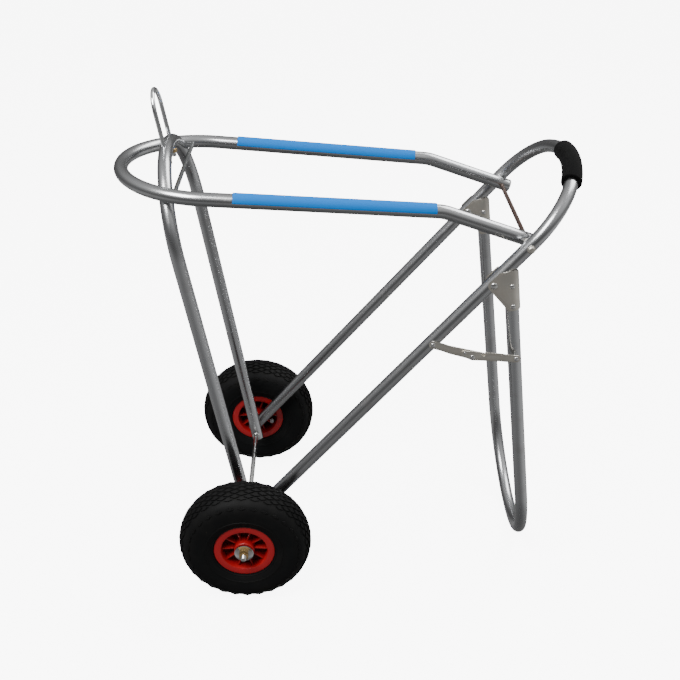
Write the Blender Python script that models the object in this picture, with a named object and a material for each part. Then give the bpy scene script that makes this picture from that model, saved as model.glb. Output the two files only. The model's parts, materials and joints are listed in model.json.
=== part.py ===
"""Folding saddle trolley: a bent-tube frame on two pneumatic wheels.

+X points to the handle, +Z up and the origin lies on the floor under the middle of the trolley.
"Left" is the -Y side, which is the left hand of someone who stands at the handle.
"""

import math

import bmesh
import bpy
from mathutils import Matrix, Vector

# Fits
GAP = 0.0003            # between two faces that touch
SIDE_PLAY = 0.0004      # between a folded bracket's cheek and the tube inside it
HOLE_PLAY = 0.0004      # radial play of a pin in its hole

# Tube of the four bent frames
TUBE_R = 0.0125
TUBE_WALL = 0.0015
BORE_DEPTH = 0.040      # how far the open end of a tube is hollowed
SMALL_SIDES = 12        # of pins, washers and other small round pieces
TUBE_SIDES = 14
BEND_STEP = math.radians(11)

# Wheels
WHEEL_R = 0.130
TRACK = 0.461
WHEEL_SIDES = 24
TREAD_DEPTH = 0.003
TREAD_GROOVE = 0.0016
TYRE_WALL = 0.005
TYRE_HALF_WIDTH = 0.0425
RIM_R = 0.0595
RIM_HALF_WIDTH = 0.035
BARREL_R = 0.0490
BARREL_WALL = 0.0045
HUB_R = 0.0205
HUB_OUTER_END = 0.036
HUB_INNER_END = -0.0415
WEB_Z = 0.0085
WEB_THICKNESS = 0.005
RIB_COUNT = 10
RIB_THICKNESS = 0.0024
RIB_OUTER_TOP = 0.026
RIB_INNER_TOP = -0.024
VALVE_R = 0.0035
VALVE_Z = -0.006
VALVE_REACH = -0.030

# Axle and what is threaded on it
AXLE_R = 0.005
AXLE_TIP = 0.0200       # past the hub washer
BUSH_R = 0.0100
BUSH_FLANGE_R = 0.0125
BUSH_FLANGE = 0.0015
BUSH_LENGTH = 0.022
HUB_WASHER_R = 0.0185
HUB_WASHER = 0.0025
AXLE_NUT_FLATS = 0.017
AXLE_NUT = 0.010
INNER_NUT_FLATS = 0.015
INNER_NUT = 0.006
AXLE_WASHER_R = 0.010
SPACER_R = 0.009

# Main frame: two tubes from the axle up to the handle loop
MAIN_SLOPE = math.radians(49.2)
MAIN_HALF_WIDTH = 0.1725
MAIN_LENGTH = 0.9297    # axle to the crest of the handle loop
MAIN_TAIL = 0.017       # tube past the axle
HANDLE_BOW_R = 0.250
HANDLE_CORNER_R = 0.125
GRIP_R = 0.0187
GRIP_LENGTH = 0.210
GRIP_START = math.radians(16.3)   # where the grip begins on the bow, right of its middle

# Front frame: an arch that leans away from the handle and carries the bail
FRONT_LEAN = math.radians(9.39)
FRONT_LENGTH = 0.737    # axle to the crest of the arch
FRONT_ARCH_R = 0.158
FRONT_HALF_WIDTH = 0.140
FRONT_TAIL = 0.0165
BAIL_ROD_R = 0.004
BAIL_HALF_WIDTH = 0.034
BAIL_CREST = 0.101      # crest of the bail above the crest of the arch
BAIL_NUT_FLATS = 0.013
BAIL_NUT = 0.006

# Saddle rail
RAIL_PIVOT_ALONG = 0.7896          # along the main tube from the axle
RAIL_SLOPE = math.radians(4.36)    # rise of the long part towards the front
RAIL_BEND = Vector((0.368, 0.650)) # bend from the axle: towards the handle and up
RAIL_FRONT = 0.2063                # crest of the loop in front of the axle
RAIL_ARC_R = 0.155
RAIL_BEND_R = 0.070
RAIL_REAR_HALF_WIDTH = 0.1395
RAIL_TAIL = 0.015
RAIL_ROD_R = 0.004
RAIL_CAP_R = 0.0075
CROSS_ROD_AHEAD = 0.094            # in front of the axle
CROSS_ROD_SEAT = 0.006             # short of the rail tube's middle
PAD_FRONT = 0.003                  # behind the axle
PAD_LENGTH = 0.350
PAD_THICKNESS = 0.0012
PLUG_HEAD = 0.0025
PLUG_STUB = 0.008

# Rear leg, its folded brackets and hinge
HINGE_ALONG = 0.6995               # along the main tube from the axle
LEG_LEAN = math.radians(7.31)
LEG_OFFSET = 0.0314                # of the leg's middle line from the hinge
LEG_ARC_R = 0.1725
BRACKET_SHEET = 0.002
BRACKET_NOSE_R = 0.0105
BRACKET_CORNER_R = 0.0025
BRACKET_BELOW = 0.0539
BRACKET_ABOVE = 0.0250
HINGE_BOLT_R = 0.004
HINGE_HEAD_R = 0.0065
RIVET_R = 0.0025
RIVET_HEAD_R = 0.0045
RIVET_HEAD = 0.0020
BRACKET_RIVETS = (-0.0054, -0.0453)  # along the leg from the hinge

# Folding stay on the left side
STAY_MAIN_ALONG = 0.5440           # along the main tube from the axle
STAY_LEG_BELOW = 0.1490            # along the leg below the hinge
STAY_KNEE_SHARE = 0.487            # of the line between its two ends
STAY_KNEE_DIP = 0.010              # knee under that line when open
STAY_SHEET = 0.0025
STAY_HALF_WIDTH = 0.0073
STAY_EAR_R = 0.0066
STAY_RISE = 0.0055                 # of the strip's middle line over the knee pin
STAY_JOGGLE = 0.0030
STAY_LEG_JOGGLE = 0.0015
STAY_STUD_R = 0.0022
STAY_STUD_FRONT = Vector((0.0202, 0.0045))   # from the knee pin
STAY_STUD_REAR = Vector((-0.0142, 0.0088))
STAY_STUD_HEAD = 0.0008
STAY_KNEE_HEAD = 0.0016
STAY_NOTCH_REACH = 0.010
STAY_SPACER_R = 0.0055

# What follows from them
HANDLE_REACH = MAIN_LENGTH * math.cos(MAIN_SLOPE) + GRIP_R
AXLE_X = (RAIL_FRONT + TUBE_R - HANDLE_REACH) / 2
AXLE = Vector((AXLE_X, 0.0, WHEEL_R))
SIDES = ((-1, "left"), (1, "right"))


def along(angle, distance, start=AXLE):
    """Point at a distance from start, up a line that rises at this angle towards +X."""
    return start + Vector((math.cos(angle), 0.0, math.sin(angle))) * distance


LEG_UP = Vector((-math.sin(LEG_LEAN), 0.0, math.cos(LEG_LEAN)))
LEG_BACK = Vector((math.cos(LEG_LEAN), 0.0, math.sin(LEG_LEAN)))
FRONT_ANGLE = math.pi / 2 + FRONT_LEAN
HINGE = along(MAIN_SLOPE, HINGE_ALONG)
RAIL_PIVOT = along(MAIN_SLOPE, RAIL_PIVOT_ALONG)
STAY_MAIN = along(MAIN_SLOPE, STAY_MAIN_ALONG)
STAY_LEG = HINGE + LEG_BACK * LEG_OFFSET - LEG_UP * STAY_LEG_BELOW
STAY_LINE = (STAY_LEG - STAY_MAIN).normalized()
STAY_DOWN = STAY_LINE.cross(Vector((0, -1, 0)))
STAY_KNEE = STAY_MAIN.lerp(STAY_LEG, STAY_KNEE_SHARE) + STAY_DOWN * STAY_KNEE_DIP
BEND_POINT = AXLE + Vector((RAIL_BEND.x, 0.0, RAIL_BEND.y))
MAIN_OUTER_Y = MAIN_HALF_WIDTH + TUBE_R
MAIN_INNER_Y = MAIN_HALF_WIDTH - TUBE_R


# Scene and materials

def clear_scene():
    for obj in list(bpy.data.objects):
        bpy.data.objects.remove(obj, do_unlink=True)


def make_material(name, colour, roughness, metallic):
    material = bpy.data.materials.new(name)
    material.use_nodes = True
    shader = material.node_tree.nodes["Principled BSDF"]
    shader.inputs["Base Color"].default_value = (*colour, 1.0)
    shader.inputs["Roughness"].default_value = roughness
    shader.inputs["Metallic"].default_value = metallic
    return material


def make_materials():
    return {
        "tube": make_material("satin_tube", (0.56, 0.57, 0.58), 0.35, 1.0),
        "zinc": make_material("zinc_steel", (0.50, 0.49, 0.45), 0.40, 1.0),
        "steel": make_material("bright_steel", (0.62, 0.62, 0.61), 0.25, 1.0),
        "dark_steel": make_material("dark_steel", (0.22, 0.17, 0.15), 0.45, 1.0),
        "chrome": make_material("chrome", (0.75, 0.76, 0.77), 0.08, 1.0),
        "brass": make_material("yellow_zinc", (0.60, 0.44, 0.18), 0.35, 1.0),
        "rubber": make_material("tyre_rubber", (0.012, 0.012, 0.013), 0.75, 0.0),
        "butyl": make_material("inner_tube_rubber", (0.02, 0.02, 0.02), 0.55, 0.0),
        "red": make_material("red_plastic", (0.36, 0.008, 0.010), 0.40, 0.0),
        "foam": make_material("black_foam", (0.008, 0.008, 0.009), 0.90, 0.0),
        "blue": make_material("blue_pad", (0.015, 0.28, 0.74), 0.45, 0.0),
        "grey": make_material("grey_plastic", (0.50, 0.50, 0.50), 0.50, 0.0),
        "nylon": make_material("white_nylon", (0.72, 0.71, 0.67), 0.45, 0.0),
    }


# Objects

def make_empty(name, location):
    empty = bpy.data.objects.new(name, None)
    empty.location = location
    empty.empty_display_size = 0.03
    bpy.context.scene.collection.objects.link(empty)
    return empty


def finish_mesh(bm, name):
    """Closes the books on a bmesh: outward faces, round faces shaded smooth."""
    bmesh.ops.remove_doubles(bm, verts=bm.verts, dist=1e-6)
    bmesh.ops.recalc_face_normals(bm, faces=bm.faces)
    mesh = bpy.data.meshes.new(name)
    bm.to_mesh(mesh)
    bm.free()
    mesh.shade_smooth()
    mesh.set_sharp_from_angle(angle=math.radians(35))
    return mesh


def place(name, mesh, material, location, parent=None, tilt=0.0):
    """One named object, turned by tilt about +Y and held by its joint's empty, if it has one."""
    obj = bpy.data.objects.new(name, mesh)
    if material and not mesh.materials:
        mesh.materials.append(material)
    obj.location = Vector(location) - (parent.location if parent else Vector())
    obj.rotation_euler = (0.0, tilt, 0.0)
    obj.parent = parent
    bpy.context.scene.collection.objects.link(obj)
    return obj


def as_cutter(obj):
    obj.hide_render = True
    obj.display_type = "WIRE"
    return obj


def combine(target, cutter, operation="DIFFERENCE"):
    modifier = target.modifiers.new(cutter.name, "BOOLEAN")
    modifier.operation = operation
    modifier.solver = "EXACT"
    modifier.object = cutter


def cylinder_mesh(name, radius, length, sides=SMALL_SIDES):
    """Cylinder along Z, its middle at the origin."""
    bm = bmesh.new()
    bmesh.ops.create_cone(bm, cap_ends=True, segments=sides, radius1=radius, radius2=radius, depth=length)
    return finish_mesh(bm, name)


def drill(targets, name, middle, radius, length, axis=Vector((0, 1, 0)), sides=SMALL_SIDES):
    """One straight round hole through all the targets."""
    cutter = place(name, cylinder_mesh(name, radius, length, sides), None, middle)
    cutter.rotation_euler = axis.to_track_quat("Z", "Y").to_euler()
    as_cutter(cutter)
    for target in targets:
        combine(target, cutter)


# Tube bending

class Bend:
    """A route for a round bar: straight runs and bends, started at a point with a heading."""

    def __init__(self, start, heading):
        self.start = Vector(start)
        self.first_heading = Vector(heading).normalized()
        self.moves = []
        self.at = self.start.copy()
        self.heading = self.first_heading.copy()

    def run(self, length):
        self.moves.append(("run", length))
        self.at = self.at + self.heading * length
        return self

    def turn_to(self, direction, radius):
        direction = Vector(direction).normalized()
        axis = self.heading.cross(direction).normalized()
        angle = self.heading.angle(direction)
        centre = self.at + axis.cross(self.heading) * radius
        self.moves.append(("turn", centre, axis, angle))
        self.at = centre + Matrix.Rotation(angle, 3, axis) @ (self.at - centre)
        self.heading = direction
        return self

    def sweep(self, bm, radius, sides, step=BEND_STEP):
        """Skin of the bar in bm. Returns its first and last rings of edges."""
        facing = self.first_heading.to_track_quat("Z", "Y").to_matrix().to_4x4()
        ring = bmesh.ops.create_circle(
            bm, segments=sides, radius=radius, matrix=Matrix.Translation(self.start) @ facing)
        first = list({edge for vert in ring["verts"] for edge in vert.link_edges})
        rim = first
        heading = self.first_heading.copy()
        for move in self.moves:
            if move[0] == "run":
                made = bmesh.ops.extrude_edge_only(bm, edges=rim)["geom"]
                moved = {item for item in made if isinstance(item, bmesh.types.BMVert)}
                bmesh.ops.translate(bm, verts=list(moved), vec=heading * move[1])
                rim = [item for item in made
                       if isinstance(item, bmesh.types.BMEdge) and set(item.verts) <= moved]
                continue
            _, centre, axis, angle = move
            steps = max(1, math.ceil(angle / step))
            made = bmesh.ops.spin(bm, geom=rim, cent=centre, axis=axis, angle=angle, steps=steps)
            rim = [item for item in made["geom_last"] if isinstance(item, bmesh.types.BMEdge)]
            heading = Matrix.Rotation(angle, 3, axis) @ heading
        return first, rim


def cap(bm, rim):
    return bmesh.ops.edgeloop_fill(bm, edges=rim)["faces"][0]


def hollow_end(bm, face, heading, wall, depth):
    """Opens the closed end of a bar: a bore of this depth inside a wall."""
    bmesh.ops.inset_region(bm, faces=[face], thickness=wall)
    inner = bmesh.ops.extrude_discrete_faces(bm, faces=[face])["faces"][0]
    bmesh.ops.translate(bm, verts=inner.verts[:], vec=-heading * depth)


def cut_mitre(bm, point, normal):
    """Cuts away what lies past a plane and closes the cut."""
    everything = bm.verts[:] + bm.edges[:] + bm.faces[:]
    cut = bmesh.ops.bisect_plane(bm, geom=everything, plane_co=point, plane_no=normal, clear_outer=True)
    return [item for item in cut["geom_cut"] if isinstance(item, bmesh.types.BMEdge)]


def mirror_halves(bm):
    everything = bm.verts[:] + bm.edges[:] + bm.faces[:]
    bmesh.ops.mirror(bm, geom=everything, axis="Y", merge_dist=1e-5)


def bent_loop(name, route, material, location, parent=None, tilt=0.0, mitre=None):
    """A loop bent from one tube: the route is its +Y half, from the crest to the open end."""
    bm = bmesh.new()
    _, rim = route.sweep(bm, TUBE_R, TUBE_SIDES)
    if mitre:
        rim = cut_mitre(bm, *mitre)
    hollow_end(bm, cap(bm, rim), route.heading, TUBE_WALL, BORE_DEPTH)
    mirror_halves(bm)
    return place(name, finish_mesh(bm, name), material, location, parent, tilt)


# Turned, flat and threaded pieces. Each has its own axis along Z.

def turned_mesh(name, profile, sides, closed=True):
    """Revolves (radius, height) points about Z. An open profile starts and ends on the axis."""
    bm = bmesh.new()
    points = [bm.verts.new((radius, 0.0, height)) for radius, height in profile]
    pairs = list(zip(points, points[1:]))
    if closed:
        pairs.append((points[-1], points[0]))
    edges = [bm.edges.new(pair) for pair in pairs]
    bmesh.ops.spin(bm, geom=points + edges, cent=(0, 0, 0), axis=(0, 0, 1),
                   angle=math.tau, steps=sides, use_merge=True)
    return finish_mesh(bm, name)


def collar_mesh(name, outer, hole, bottom, top, sides=SMALL_SIDES):
    return turned_mesh(name, [(hole, bottom), (outer, bottom), (outer, top), (hole, top)], sides)


def nut_mesh(name, flats, hole, bottom, top):
    """Six-sided nut with a round hole, drawn as four rings of points joined face by face."""
    bm = bmesh.new()
    corner = flats / 2 / math.cos(math.pi / 6)
    rings = []
    for height, outer in ((bottom, True), (top, True), (top, False), (bottom, False)):
        ring = []
        for step in range(12):
            turn = math.tau * step / 12
            radius = (flats / 2 if step % 2 else corner) if outer else hole
            ring.append(bm.verts.new((radius * math.cos(turn), radius * math.sin(turn), height)))
        rings.append(ring)
    for one, other in zip(rings, rings[1:] + rings[:1]):
        for step in range(12):
            after = (step + 1) % 12
            bm.faces.new((one[step], one[after], other[after], other[step]))
    return finish_mesh(bm, name)


def rivet_mesh(name, shank, head, head_height, low, high, tail_head=True):
    """Round-headed rivet: shank from low to high, a domed head past high and a flat one past low."""
    dome = [(head * math.cos(turn), high + head_height * math.sin(turn))
            for turn in (0.0, math.pi / 4, math.pi / 2)]
    tail = [(0.0, low), (shank, low)]
    if tail_head:
        tail = [(0.0, low - head_height), (head, low - head_height), (head, low), (shank, low)]
    dome[-1] = (0.0, high + head_height)
    return turned_mesh(name, tail + [(shank, high)] + dome, 8, closed=False)


def outward(side):
    """Rotation that points a piece's Z axis away from the middle plane on one side."""
    return (-side * math.pi / 2, 0.0, 0.0)


def side_piece(name, mesh, material, point, side, parent=None):
    """A turned piece on one end of a cross axis. Its heights count from the middle plane outwards."""
    obj = place(name, mesh, material, point, parent)
    obj.rotation_euler = outward(side)
    return obj


def add_pair(name, mesh, material, point, parent=None):
    """The same turned piece on both ends of a cross axis."""
    for side, label in SIDES:
        side_piece(f"{name}_{label}", mesh, material, point, side, parent)


def hull_prism_mesh(name, discs, low, high, across="Y", sides=20):
    """Convex plate round some discs (u, v, radius), from low to high along one axis."""
    bm = bmesh.new()
    for u, v, radius in discs:
        for step in range(sides):
            turn = math.tau * step / sides
            flat = (u + radius * math.cos(turn), v + radius * math.sin(turn))
            for depth in (low, high):
                point = (flat[0], depth, flat[1]) if across == "Y" else (flat[0], flat[1], depth)
                bm.verts.new(point)
    hull = bmesh.ops.convex_hull(bm, input=bm.verts[:])
    spare = {item for key in ("geom_interior", "geom_unused") for item in hull[key]}
    spare_verts = [item for item in spare if isinstance(item, bmesh.types.BMVert)]
    bmesh.ops.delete(bm, geom=spare_verts, context="VERTS")
    bmesh.ops.dissolve_limit(bm, angle_limit=math.radians(1), verts=bm.verts[:], edges=bm.edges[:])
    return finish_mesh(bm, name)


# Main frame

def handle_arcs():
    """Half angle of the handle's bow, from its two radii and the frame's width."""
    return math.asin((MAIN_HALF_WIDTH - HANDLE_CORNER_R) / (HANDLE_BOW_R - HANDLE_CORNER_R))


def loop_heading(angle):
    """Heading in the plane of the main frame after the bow has turned by an angle from +Y."""
    return Vector((-math.sin(angle), math.cos(angle), 0.0))


def main_route():
    """From the crest of the handle down to the axle, in the frame's own plane."""
    bow = handle_arcs()
    route = Bend((MAIN_LENGTH, 0, 0), (0, 1, 0))
    route.turn_to(loop_heading(bow), HANDLE_BOW_R)
    route.turn_to((-1, 0, 0), HANDLE_CORNER_R)
    route.run(route.at.x + MAIN_TAIL)
    return route


def build_main_frame(finish):
    frame = bent_loop("main_frame", main_route(), finish["tube"], AXLE, tilt=-MAIN_SLOPE)
    width = 4 * MAIN_HALF_WIDTH
    drill([frame], "main_axle_hole", AXLE, AXLE_R + HOLE_PLAY, width)
    drill([frame], "main_rail_rod_hole", RAIL_PIVOT, RAIL_ROD_R + HOLE_PLAY, width)
    drill([frame], "main_hinge_hole", HINGE, HINGE_BOLT_R + HOLE_PLAY, width)
    rivet_middle = STAY_MAIN - Vector((0, MAIN_OUTER_Y, 0))
    drill([frame], "main_stay_hole", rivet_middle, RIVET_R + HOLE_PLAY, 2 * TUBE_R)


def build_grip(finish):
    """Foam sleeve that follows the handle's bow and turns into its left corner."""
    bow = handle_arcs()
    corner_turn = (GRIP_LENGTH - HANDLE_BOW_R * (GRIP_START + bow)) / HANDLE_CORNER_R
    centre_x = MAIN_LENGTH - HANDLE_BOW_R
    start = (centre_x + HANDLE_BOW_R * math.cos(GRIP_START), HANDLE_BOW_R * math.sin(GRIP_START), 0)
    route = Bend(start, -loop_heading(GRIP_START))
    route.turn_to(-loop_heading(-bow), HANDLE_BOW_R)
    route.turn_to(-loop_heading(-bow - corner_turn), HANDLE_CORNER_R)
    bm = bmesh.new()
    for rim in route.sweep(bm, GRIP_R, TUBE_SIDES):
        cap(bm, rim)
    grip = place("handle_grip", finish_mesh(bm, "handle_grip"), finish["foam"], AXLE, tilt=-MAIN_SLOPE)
    bm = bmesh.new()
    _, rim = main_route().sweep(bm, TUBE_R + GAP, TUBE_SIDES)
    cap(bm, rim)
    mirror_halves(bm)
    bore = place("grip_bore", finish_mesh(bm, "grip_bore"), None, AXLE, tilt=-MAIN_SLOPE)
    combine(grip, as_cutter(bore))


# Front frame and bail

def front_splay():
    """Angle by which each front tube spreads from the axle up to the arch."""
    return math.atan((FRONT_ARCH_R - FRONT_HALF_WIDTH) / (FRONT_LENGTH - FRONT_ARCH_R))


def build_front_frame(finish):
    splay = front_splay()
    down = Vector((-math.cos(splay), -math.sin(splay), 0))
    route = Bend((FRONT_LENGTH, 0, 0), (0, 1, 0))
    route.turn_to(down, FRONT_ARCH_R)
    route.run((route.at.x + FRONT_TAIL) / math.cos(splay))
    arch = bent_loop("front_arch", route, finish["tube"], AXLE, tilt=-FRONT_ANGLE)
    drill([arch], "front_axle_hole", AXLE, AXLE_R + HOLE_PLAY, 4 * FRONT_HALF_WIDTH)
    up = along(FRONT_ANGLE, 1.0, Vector())
    for side in (-1, 1):
        middle = AXLE + up * FRONT_LENGTH + Vector((0, side * BAIL_HALF_WIDTH, 0))
        drill([arch], f"bail_hole_{side}", middle, BAIL_ROD_R + HOLE_PLAY, 6 * TUBE_R, axis=up)


def bail_nut_top():
    """Height at which a bail nut just clears the underside of the arch."""
    corner = BAIL_NUT_FLATS / 2 / math.cos(math.pi / 6)
    underside = math.sqrt((FRONT_ARCH_R - TUBE_R) ** 2 - (BAIL_HALF_WIDTH + corner) ** 2)
    return FRONT_LENGTH - FRONT_ARCH_R + underside - 2 * GAP


def build_bail(finish):
    crest = FRONT_LENGTH + BAIL_CREST
    nut_top = bail_nut_top()
    foot = nut_top - BAIL_NUT - 2 * BAIL_ROD_R
    route = Bend((crest, 0, 0), (0, 1, 0))
    route.turn_to((-1, 0, 0), BAIL_HALF_WIDTH)
    route.run(route.at.x - foot)
    bm = bmesh.new()
    _, rim = route.sweep(bm, BAIL_ROD_R, SMALL_SIDES, 2 * BEND_STEP)
    cap(bm, rim)
    mirror_halves(bm)
    place("bail_loop", finish_mesh(bm, "bail_loop"), finish["chrome"], AXLE, tilt=-FRONT_ANGLE)
    nut = nut_mesh("bail_nut", BAIL_NUT_FLATS, BAIL_ROD_R + HOLE_PLAY, -BAIL_NUT, 0.0)
    up = along(FRONT_ANGLE, 1.0, Vector())
    for side, label in SIDES:
        spot = AXLE + up * nut_top + Vector((0, side * BAIL_HALF_WIDTH, 0))
        obj = place(f"bail_nut_{label}", nut, finish["brass"], spot)
        obj.rotation_euler = up.to_track_quat("Z", "Y").to_euler()


# Axle

def build_axle(finish):
    hub_face = TRACK / 2 + HUB_OUTER_END + GAP + BUSH_FLANGE + GAP
    washer_face = hub_face + HUB_WASHER
    axle = place("axle", cylinder_mesh("axle", AXLE_R, 2 * (washer_face + AXLE_TIP)), finish["steel"], AXLE)
    axle.rotation_euler = (math.pi / 2, 0.0, 0.0)
    chamfer = axle.modifiers.new("chamfer", "BEVEL")
    chamfer.width = 0.0008
    chamfer.segments = 1
    chamfer.limit_method = "ANGLE"
    chamfer.angle_limit = math.radians(60)
    hole = AXLE_R + HOLE_PLAY
    dish = [(hole, hub_face), (HUB_WASHER_R - 0.0015, hub_face), (HUB_WASHER_R, hub_face + 0.001),
            (HUB_WASHER_R, washer_face + 0.0015), (HUB_WASHER_R - 0.0030, washer_face), (hole, washer_face)]
    add_pair("hub_washer", turned_mesh("hub_washer", dish, 20), finish["steel"], AXLE)
    nut_face = washer_face + GAP
    add_pair("axle_nut", nut_mesh("axle_nut", AXLE_NUT_FLATS, hole, nut_face, nut_face + AXLE_NUT),
             finish["brass"], AXLE)
    leg_inner = FRONT_HALF_WIDTH - TUBE_R
    add_pair("axle_inner_nut",
             nut_mesh("axle_inner_nut", INNER_NUT_FLATS, hole, leg_inner - GAP - INNER_NUT, leg_inner - GAP),
             finish["steel"], AXLE)
    add_pair("axle_spacer",
             collar_mesh("axle_spacer", SPACER_R, hole, FRONT_HALF_WIDTH + TUBE_R + 2 * GAP, MAIN_INNER_Y - GAP),
             finish["zinc"], AXLE)
    bush_face = TRACK / 2 + HUB_INNER_END - GAP - BUSH_FLANGE
    add_pair("axle_washer",
             collar_mesh("axle_washer", AXLE_WASHER_R, hole, MAIN_OUTER_Y + GAP, bush_face - GAP),
             finish["steel"], AXLE)


# Wheels

def tyre_profile():
    """Half section of the tyre's skin from the bead over the crown, then the other half."""
    seat = BARREL_R + 2 * GAP
    crown = WHEEL_R - TREAD_DEPTH
    wide = TYRE_HALF_WIDTH
    outside = [(seat, 0.0282), (RIM_R + 0.0004, 0.0298), (RIM_R + 0.0010, 0.0366), (0.072, wide - 0.0012),
               (0.090, wide), (0.110, wide - 0.0026), (crown - 0.0045, 0.0335), (crown, 0.0)]
    inside = [(crown - TYRE_WALL, 0.0), (0.1130, 0.0300), (0.094, wide - TYRE_WALL), (0.068, 0.0310),
              (seat, 0.0165)]
    left = [(radius, -height) for radius, height in reversed(outside[:-1])]
    inner_left = [(radius, -height) for radius, height in reversed(inside[1:])]
    return outside + left + inner_left + inside[:1] + inside[1:]


def tyre_mesh():
    """Tyre with raised blocks on the crown and the shoulders, staggered from row to row."""
    bm = bmesh.new()
    points = [bm.verts.new((radius, 0.0, height)) for radius, height in tyre_profile()]
    edges = [bm.edges.new(pair) for pair in zip(points, points[1:] + points[:1])]
    bmesh.ops.spin(bm, geom=points + edges, cent=(0, 0, 0), axis=(0, 0, 1),
                   angle=math.tau, steps=WHEEL_SIDES, use_merge=True)
    bmesh.ops.remove_doubles(bm, verts=bm.verts, dist=1e-6)
    bmesh.ops.recalc_face_normals(bm, faces=bm.faces)
    half_step = math.pi / WHEEL_SIDES
    centre_ring = [vert for vert in bm.verts if abs(vert.co.z) < 1e-5 and vert.co.xy.length > 0.12]
    outer_centre = [vert for vert in centre_ring if vert.co.xy.length > WHEEL_R - TREAD_DEPTH - 0.001]
    bmesh.ops.rotate(bm, verts=outer_centre, cent=(0, 0, 0), matrix=Matrix.Rotation(half_step, 3, "Z"))
    treads = []
    for face in bm.faces:
        radial = Vector((*face.calc_center_median().xy, 0.0)).normalized()
        on_crown = face.calc_center_median().xy.length > 0.1155
        if on_crown and face.normal.dot(radial) > 0.3:
            treads.append(face)
    bmesh.ops.inset_individual(bm, faces=treads, thickness=TREAD_GROOVE, depth=TREAD_DEPTH)
    return finish_mesh(bm, "tyre")


def rim_mesh():
    low, high = WEB_Z - WEB_THICKNESS / 2, WEB_Z + WEB_THICKNESS / 2
    bore = BUSH_R + GAP
    inner = BARREL_R - BARREL_WALL
    side = RIM_HALF_WIDTH
    flange = [(inner + 0.002, side), (RIM_R - 0.0015, side), (RIM_R, side - 0.0015), (RIM_R, side - 0.0045),
              (BARREL_R, side - 0.0060)]
    profile = [(bore, HUB_INNER_END), (HUB_R - 0.004, HUB_INNER_END), (HUB_R - 0.002, low)]
    profile += [(inner - 0.0005, low)]
    profile += [(inner, 0.002 - side)] + [(radius, -height) for radius, height in flange]
    profile += list(reversed(flange)) + [(inner, side - 0.002)]
    profile += [(inner - 0.0005, high), (HUB_R, high), (HUB_R - 0.001, HUB_OUTER_END), (bore, HUB_OUTER_END)]
    return turned_mesh("rim", profile, WHEEL_SIDES)


def ribs_mesh():
    """Radial ribs on both faces of the web, tapering from the hub to the barrel."""
    root, tip = HUB_R - 0.005, BARREL_R - BARREL_WALL + 0.0015
    half = RIB_THICKNESS / 2
    section = [(root, RIB_INNER_TOP), (tip, RIB_INNER_TOP - 0.003), (tip, RIB_OUTER_TOP + 0.002),
               (root, RIB_OUTER_TOP)]
    bm = bmesh.new()
    for rib in range(RIB_COUNT):
        corners = [bm.verts.new((radius, -half, height)) for radius, height in section]
        face = bm.faces.new(corners)
        grown = bmesh.ops.extrude_face_region(bm, geom=[face])["geom"]
        new = [item for item in grown if isinstance(item, bmesh.types.BMVert)]
        bmesh.ops.translate(bm, verts=new, vec=(0, RIB_THICKNESS, 0))
        turn = Matrix.Rotation(math.tau * rib / RIB_COUNT, 3, "Z")
        bmesh.ops.rotate(bm, verts=corners + new, cent=(0, 0, 0), matrix=turn)
    return finish_mesh(bm, "rim_ribs")


def tube_section(count=10):
    """Section of the inflated inner tube, clear of the tyre and the barrel."""
    low, high = BARREL_R + 0.0110, WHEEL_R - TREAD_DEPTH - TYRE_WALL - 0.0035
    middle, tall, wide = (low + high) / 2, (high - low) / 2, TYRE_HALF_WIDTH - TYRE_WALL - 0.006
    turns = [math.tau * step / count for step in range(count)]
    return [(middle + tall * math.cos(turn), wide * math.sin(turn)) for turn in turns]


def valve_mesh():
    """Bent valve: through the barrel, then along the axle to the wheel's inner face."""
    stem_r = BARREL_R - BARREL_WALL - 3 * VALVE_R
    route = Bend((BARREL_R + 0.009, 0, VALVE_Z), (-1, 0, 0))
    route.run(route.at.x - stem_r - 2 * VALVE_R)
    route.turn_to((0, 0, -1), 2 * VALVE_R)
    route.run(route.at.z - VALVE_REACH)
    bm = bmesh.new()
    for rim in route.sweep(bm, VALVE_R, 8, 3 * BEND_STEP):
        cap(bm, rim)
    return finish_mesh(bm, "valve"), route.at.copy()


def bush_mesh():
    """Flanged bush with its flange at the hub's outer face, facing +Z."""
    hole = AXLE_R + HOLE_PLAY
    profile = [(hole, -BUSH_LENGTH), (BUSH_R, -BUSH_LENGTH), (BUSH_R, GAP), (BUSH_FLANGE_R, GAP),
               (BUSH_FLANGE_R, GAP + BUSH_FLANGE), (hole, GAP + BUSH_FLANGE)]
    return turned_mesh("bush", profile, SMALL_SIDES)


def build_wheel(side, name, meshes, finish):
    """One wheel on its spin axis. The meshes are shared by both wheels."""
    hub = make_empty(f"{name}_wheel_spin", AXLE + Vector((0, side * TRACK / 2, 0)))
    hub.rotation_euler = outward(side)

    def ride(piece, mesh, material):
        obj = bpy.data.objects.new(f"{name}_{piece}", mesh)
        if not mesh.materials:
            mesh.materials.append(finish[material])
        obj.parent = hub
        bpy.context.scene.collection.objects.link(obj)
        return obj

    ride("tyre", meshes["tyre"], "rubber")
    rim = ride("rim", meshes["rim"], "red")
    ride("inner_tube", meshes["inner_tube"], "butyl")
    ride("outer_bush", meshes["bush"], "nylon").location.z = HUB_OUTER_END
    inner_bush = ride("inner_bush", meshes["bush"], "nylon")
    inner_bush.location.z = HUB_INNER_END
    inner_bush.rotation_euler = (math.pi, 0.0, 0.0)
    ride("valve_stem", meshes["valve"], "steel")
    ride("valve_cap", meshes["valve_cap"], "grey")
    ribs = as_cutter(ride("rib_set", meshes["ribs"], "red"))
    combine(rim, ribs, "UNION")
    hole = as_cutter(ride("hub_bore", meshes["hub_bore"], "red"))
    combine(rim, hole)
    valve_hole = as_cutter(ride("valve_hole", meshes["valve_hole"], "red"))
    combine(rim, valve_hole)


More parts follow.
